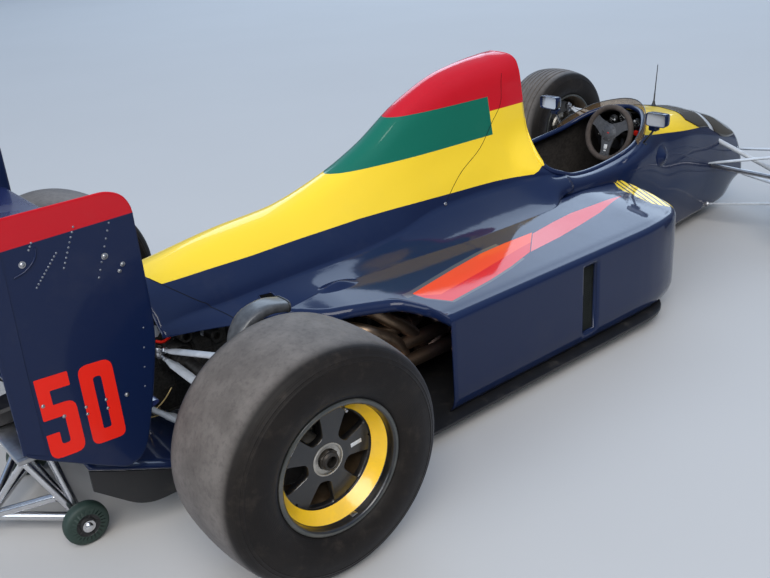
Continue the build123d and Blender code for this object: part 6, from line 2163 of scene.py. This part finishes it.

# ---- mirrors
# mirror glass is half metal and half a diffuse pale blue-grey base; the pale base is a painted reflection of the sky
MGL = Mat("mirror_glass")
MGL.color(MGL.mix(MGL.noise(30, 3, 0.5).step(0.5, 0.8) * 0.3, (0.80, 0.83, 0.87), (0.6, 0.6, 0.58))).rough(0.06 + MGL.noise(50, 3, 0.5) * 0.04).metal(0.5)
for tag, sg in (("right", -1), ("left", 1)):
    yc = 295.0
    b = Bag()
    rings = []
    for t in np.linspace(0, 1, 13):
        x = 2197 + 56 * t
        k = math.sqrt(max(1 - (max(t - 0.15, 0) / 0.85) ** 2.4, 0.02))
        ring = []
        for i in range(28):
            a = 2 * math.pi * i / 28
            u = abs(math.cos(a)) ** 0.3 * (1 if math.cos(a) > 0 else -1) * 49 * (0.45 + 0.55 * k)
            v = abs(math.sin(a)) ** 0.3 * (1 if math.sin(a) > 0 else -1) * 29 * (0.35 + 0.65 * k)
            ring.append((x, sg * (yc + u), 645 + v))
        rings.append(ring)
    b.grid(rings, wrap_v=True)
    b.fan(rings[-1])
    # rolled rear edge going in to the glass
    r0 = np.array(rings[0])
    c = r0.mean(axis=0)
    b.grid([[tuple(p) for p in r0], [tuple(c + (p - c) * 0.97 + V(-1.5, 0, 0)) for p in r0], [tuple(c + (p - c) * 0.915 + V(2, 0, 0)) for p in r0], [tuple(c + (p - c) * 0.91 + V(18, 0, 0)) for p in r0]], wrap_v=True)
    b.piece("mirror_shell_" + tag, M["navy"], replaces=("mirrors",) if sg < 0 else (), slot="navy_paint", angle=50, ref=(2225, sg * yc, 645))
    b = Bag()
    ring = [tuple(c + (p - c) * 0.915 + V(9.0 + 0.12 * (p[2] - c[2]) + 0.10 * sg * (p[1] - c[1]), 0, 0)) for p in r0]
    b.add(ring, [tuple(range(len(ring)))])
    b.piece("mirror_glass_" + tag, MGL.m, slot="steel", angle=60)
    b = Bag()
    pth = catmull([(2220, sg * 222, 530), (2222, sg * 240, 552), (2226, sg * 258, 576), (2229, sg * 272, 600)], 7)
    b.sweep(pth, aero(16, 8, 14), up=(0, 1, 0.2))
    b.rev((2220, sg * 226, 529), (0, sg * 0.5, 0.85), [(0, 15), (4, 14), (6, 10), (7, 6)], 26)
    b.piece("mirror_stalk_" + tag, M["black"], slot="black_plastic", angle=50)
    b = Bag()
    b.box((2224, sg * 272, 604), (34, 40, 24), bev=6)
    b.piece("mirror_bracket_" + tag, M["navy"], slot="navy_paint", angle=40)

# ---- antenna with its base and ferrule
b = Bag()
p, q = V(2600.5, 0, 593), V(2619, 0, 779)
d = (q - p) / np.linalg.norm(q - p)
b.rev(p - d * 6, d, [(0, 0), (0, 17), (3, 16), (7, 10), (16, 6.5), (24, 5.5), (26, 3.6), (60, 3.2), (62, 2.6), (188, 1.7), (192, 1.2), (193, 0)], 22)
b.piece("antenna_rod", M["plastic"], replaces="antenna", slot="black_plastic", angle=50)
# ------------------------------------------------------------------ lifting jack
JX, JY0, JY1, JR = -452.0, -347.0, 118.0, 64.0
JM = (JY0 + JY1) / 2


def jack_tube_material():
    m = Mat("jack_chrome")
    n1, n2 = m.noise(12, 5, 0.6), m.noise(120, 4, 0.7)
    spots = n2.step(0.62, 0.80) * n1.step(0.4, 0.65)
    m.color(m.mix(spots * 0.6, m.mix(n1.step(0.3, 0.7), (0.72, 0.72, 0.73), (0.60, 0.60, 0.62)), (0.20, 0.13, 0.08)))
    m.metal(1.0 - spots * 0.5)
    m.rough(0.14 + n1 * 0.16 + spots * 0.3)
    m.bump(n2, 0.0002, 0.5)
    return m.m


JT = jack_tube_material()
b = Bag()
FOOT = V(-645, JM, 64)
weld = []
for sg in (-1, 1):
    low = V(JX, JM + sg * 195, JR)
    front = V(-478, JM + sg * 127.5, 262)
    back = V(-545, JM + sg * 127.5, 262)
    knee = low + 0.38 * (back - low)
    for p, q, r in ((low, front, 12.6), (low, back, 12.6), (low, FOOT, 12.6), (knee, FOOT, 12.6), (back, FOOT, 8.8)):
        d = (q - p) / np.linalg.norm(q - p)
        b.tube([p, p + d * 20, q - d * 20, q], r, 22)
        weld += [(p + d * 10, d, r), (q - d * 10, d, r)]
b.tube([(JX, JY0 - 31, JR), (JX, 0, JR), (JX, JY1 + 31, JR)], 11.8, 20)
b.tube([FOOT, (-900, JM, 84), (-1230, JM, 110)], 15, 22)
b.tube([(-1230, JM - 176, 110), (-1230, JM, 110), (-1230, JM + 176, 110)], 15, 22)
for p, d, r in weld:
    b.rev(p - d * 3, d, [(0, r * 0.98), (1.5, r * 1.12), (3.5, r * 1.16), (5.5, r * 1.1), (7, r * 0.98)], 20)
b.piece("jack_tubes", JT, replaces="jack_frame", slot="polished_steel", angle=40)
b = Bag()
b.box((-512.5, JM, 270.5), (105, 300, 16), bev=4)
for sg in (-1, 1):
    b.box((-512.5, JM + sg * 140, 274), (104, 14, 10), bev=3)
b.piece("jack_saddle", M["steel"], slot="polished_steel", angle=40)
b = Bag()
for sg in (-1, 1):
    c = [(-1230, JM + sg * t, 110) for t in np.linspace(96, 190, 24)]
    b.tube(c, [17.2 + 0.9 * math.sin(i * 1.6) for i in range(24)], 22)
b.piece("jack_grips", M["plastic"], slot="black_plastic", angle=60)
b = Bag()
for yy in (JY0 - 32, JY1 + 32):
    s = -1 if yy < 0 else 1
    b.rev((JX, yy - s * 10, JR), (0, s, 0), [(0, 18), (3, 18), (3.5, 12), (10, 12), (12.5, 9), (13.5, 0)], 28)
b.piece("jack_axle_caps", JT, slot="polished_steel", angle=40)
for tag, y in (("right", JY0), ("left", JY1)):
    b = Bag()
    half = [(-20, 34), (-20, 38), (-19.5, 52), (-17.5, 58), (-14, 62), (-8, 63.6), (0, 64)]
    prof = half + [(-s, r) for s, r in reversed(half[:-1])]
    b.mi = 0
    b.rev((JX, y, JR), (0, 1, 0), prof, 72)
    b.mi = 1
    for s in (-1, 1):
        b.rev((JX, y, JR), (0, s, 0), [(20, 38), (18, 37), (15, 34), (14, 24), (18, 22), (20.5, 21), (21, 14), (21, 12.05)], 48)
        for k in range(5):
            a = 2 * math.pi * k / 5
            b.box((JX + 29 * math.cos(a), y + s * 15, JR + 29 * math.sin(a)), (14, 4, 5), axes=[(math.cos(a), 0, math.sin(a)), (0, 1, 0), (-math.sin(a), 0, math.cos(a))], bev=1.5)
    b.rev((JX, y, JR), (0, 1, 0), [(-21, 12.05), (21, 12.05)], 30)
    b.piece("jack_wheel_%s_tyre" % tag, [M["jackrub"], M["plastic"]], body="jack_roller_" + tag, replaces="jack_wheel_" + tag, slot="jack_rubber", angle=40)

# ------------------------------------------------------------------ floor and tail tunnel
FLR = [(60, 450), (330, 470), (380, 600), (470, 690), (525, 700), (1700, 700), (1800, 645), (1880, 520), (1960, 290), (1990, 270)]
b = Bag()
half = round_poly([(60, 0)] + FLR + [(1990, 0)], [0, 0, 30, 40, 40, 30, 60, 60, 60, 30, 10, 0], 6)
half = [(float(p[0]), max(float(p[1]), 0.0)) for p in half]
loop = [(x, -y) for x, y in half] + [(x, y) for x, y in reversed(half) if y > 0.01]
cx, cy = 1000, 0
rings = []
for k, z in ((4, 45), (1, 46), (0, 48), (0, 54.5), (1, 56.5), (4, 57)):
    rings.append([(x - (x - cx) / max(math.hypot(x - cx, y), 1) * k, y - y / max(math.hypot(x - cx, y), 1) * k, z) for x, y in loop])
b.grid(rings, wrap_v=True)
b.add(rings[0], [tuple(range(len(rings[0])))])
b.add(rings[-1], [tuple(range(len(rings[-1])))])


def floor_material():
    m = Mat("floor_board")
    n1, n2 = m.noise(14, 5, 0.65), m.noise(120, 4, 0.65)
    # cross weave seen faintly through the lacquer
    wv = ((m.x * 1.6).sin() * (m.y * 1.6).sin()) * 0.5 + 0.5
    c = m.mix(wv * 0.5, (0.007, 0.007, 0.008), (0.015, 0.015, 0.016))
    c = m.mix(n1.step(0.5, 0.8) * 0.45, c, (0.075, 0.066, 0.055))
    m.color(c)
    m.rough(0.34 + n1 * 0.25)
    m.b.inputs["Coat Weight"].default_value = 0.25
    m.b.inputs["Coat Roughness"].default_value = 0.2
    m.bump(wv * 0.4 + n2, 0.0002, 0.5)
    return m.m


FLM = floor_material()
b.piece("floor_board", FLM, replaces="underfloor", slot="black_composite", angle=40, merge=0.01)
b = Bag()
ROOF = [(60, 57), (-100, 125), (-217, 180), (-360, 245), (-440, 284)]
rc = even(catmull(ROOF, 8), 40)
rows = [[(p[0], y, p[1]) for y in np.linspace(-450, 450, 19)] for p in rc]
b.grid(rows)
b.piece("tunnel_roof", M["navy"], replaces="diffuser", slot="navy_paint", angle=60, solid=8, ref=None)
b = Bag()
FEET = [(-440, 215), (-309, 98), (-60, 98), (60, 45)]
fc = even(round_poly([(60, 45), (-60, 98), (-309, 98), (-440, 215)], [0, 40, 60, 0], 8), 40)
for y in (-450, -153, 147, 444):
    up_ = [(p[0], p[1] - 4) for p in rc]
    ring = lambda yy, k: [(u[0], yy, u[1] - k) for u in up_] + [(f[0], yy, f[1] + k) for f in reversed(fc)]
    r0, r1, r2, r3 = ring(y, 1.2), ring(y + 1.4, 0), ring(y + 4.6, 0), ring(y + 6, 1.2)
    b.grid([r0, r1, r2, r3], wrap_v=True)
    m = len(up_)
    for r in (r0, r3):
        b.add(r, [(i, i + 1, 2 * m - 2 - i, 2 * m - 1 - i) for i in range(m - 1)])
b.piece("tunnel_plates", FLM, slot="black_composite", angle=40)
b = Bag()
for y in (-444, -150, 150, 444):
    for p in even(rc, 9)[1:-1]:
        b.dome((p[0], y + (3 if y < 0 else -3), p[1] + 0.6), (0.4, 0, 1), 4.5, 2.2, 12)
b.piece("tunnel_screws", M["steel"], slot="steel", angle=50)
# ------------------------------------------------------------------ floor, light and camera
def stage_setup():
    me = bpy.data.meshes.new("floor")
    me.from_pydata([(-30, -30, 0), (30, -30, 0), (30, 30, 0), (-30, 30, 0)], [], [(0, 1, 2, 3)])
    fl = bpy.data.objects.new("floor", me)
    bpy.context.scene.collection.objects.link(fl)
    m = Mat("floor_plain")
    m.color(m.mix(m.noise(0.8, 3, 0.5) * 0.5, (0.45, 0.44, 0.425), (0.50, 0.49, 0.475))).rough(0.75)
    m.b.inputs["Specular IOR Level"].default_value = 0.25
    me.materials.append(m.m)

    w = bpy.data.worlds.new("studio")
    bpy.context.scene.world = w
    w.use_nodes = True
    nt = w.node_tree
    bg = nt.nodes["Background"]
    # soft studio sky: dim at the horizon, brighter overhead
    tc = nt.nodes.new("ShaderNodeTexCoord")
    sp = nt.nodes.new("ShaderNodeSeparateXYZ")
    nt.links.new(tc.outputs["Generated"], sp.inputs[0])
    rp = nt.nodes.new("ShaderNodeMapRange")
    rp.interpolation_type = "SMOOTHSTEP"
    rp.inputs["From Min"].default_value = 0.06
    rp.inputs["From Max"].default_value = 0.62
    nt.links.new(sp.outputs[2], rp.inputs["Value"])
    mx = nt.nodes.new("ShaderNodeMix")
    mx.data_type = "RGBA"
    ins = [i for i in mx.inputs if i.type == "RGBA"]
    ins[0].default_value = (0.19, 0.20, 0.215, 1)
    ins[1].default_value = (0.46, 0.62, 0.90, 1)
    nt.links.new(rp.outputs["Result"], mx.inputs[0])
    nt.links.new([o for o in mx.outputs if o.type == "RGBA"][0], bg.inputs["Color"])
    bg.inputs["Strength"].default_value = 0.75

    def area(name, loc, target, size, power, colour):
        l = bpy.data.lights.new(name, "AREA")
        l.shape = "RECTANGLE"
        l.size, l.size_y = size
        l.energy = power
        l.color = colour
        o = bpy.data.objects.new(name, l)
        bpy.context.scene.collection.objects.link(o)
        o.location = loc
        o.rotation_euler = (Vector(target) - Vector(loc)).to_track_quat("-Z", "Y").to_euler()
        return o

    area("key", (-6.5, -10.0, 12.0), (0, 0, 0.4), (11, 9), 2150, (1.0, 0.955, 0.90))
    area("sky", (12.1, 11.0, 11.0), (0, 0, 0.3), (19.8, 11), 2180, (0.66, 0.81, 1.0))
    area("rear", (-12.0, -2.0, 8.0), (0, 0, 0.3), (8, 8), 640, (0.9, 0.95, 1.0))

    bpy.context.scene.view_settings.view_transform = "Standard"
    cam = bpy.data.cameras.new("cam")
    cam.lens = 42.72
    cam.sensor_width = 36
    cam.clip_end = 200
    co = bpy.data.objects.new("cam", cam)
    bpy.context.scene.collection.objects.link(co)
    yaw, pitch, roll = math.radians(52.36), math.radians(23.85), math.radians(-4.42)
    d = Vector((math.cos(yaw) * math.cos(pitch), math.sin(yaw) * math.cos(pitch), -math.sin(pitch)))
    r = Vector((math.sin(yaw), -math.cos(yaw), 0))
    u = r.cross(d)
    cr, sr = math.cos(roll), math.sin(roll)
    right, up = r * cr + u * sr, u * cr - r * sr
    R = Matrix((right, up, -d)).transposed()
    co.matrix_world = Matrix.Translation((-2.01859, -2.54345, 1.62875)) @ R.to_4x4()
    bpy.context.scene.camera = co


stage_setup()
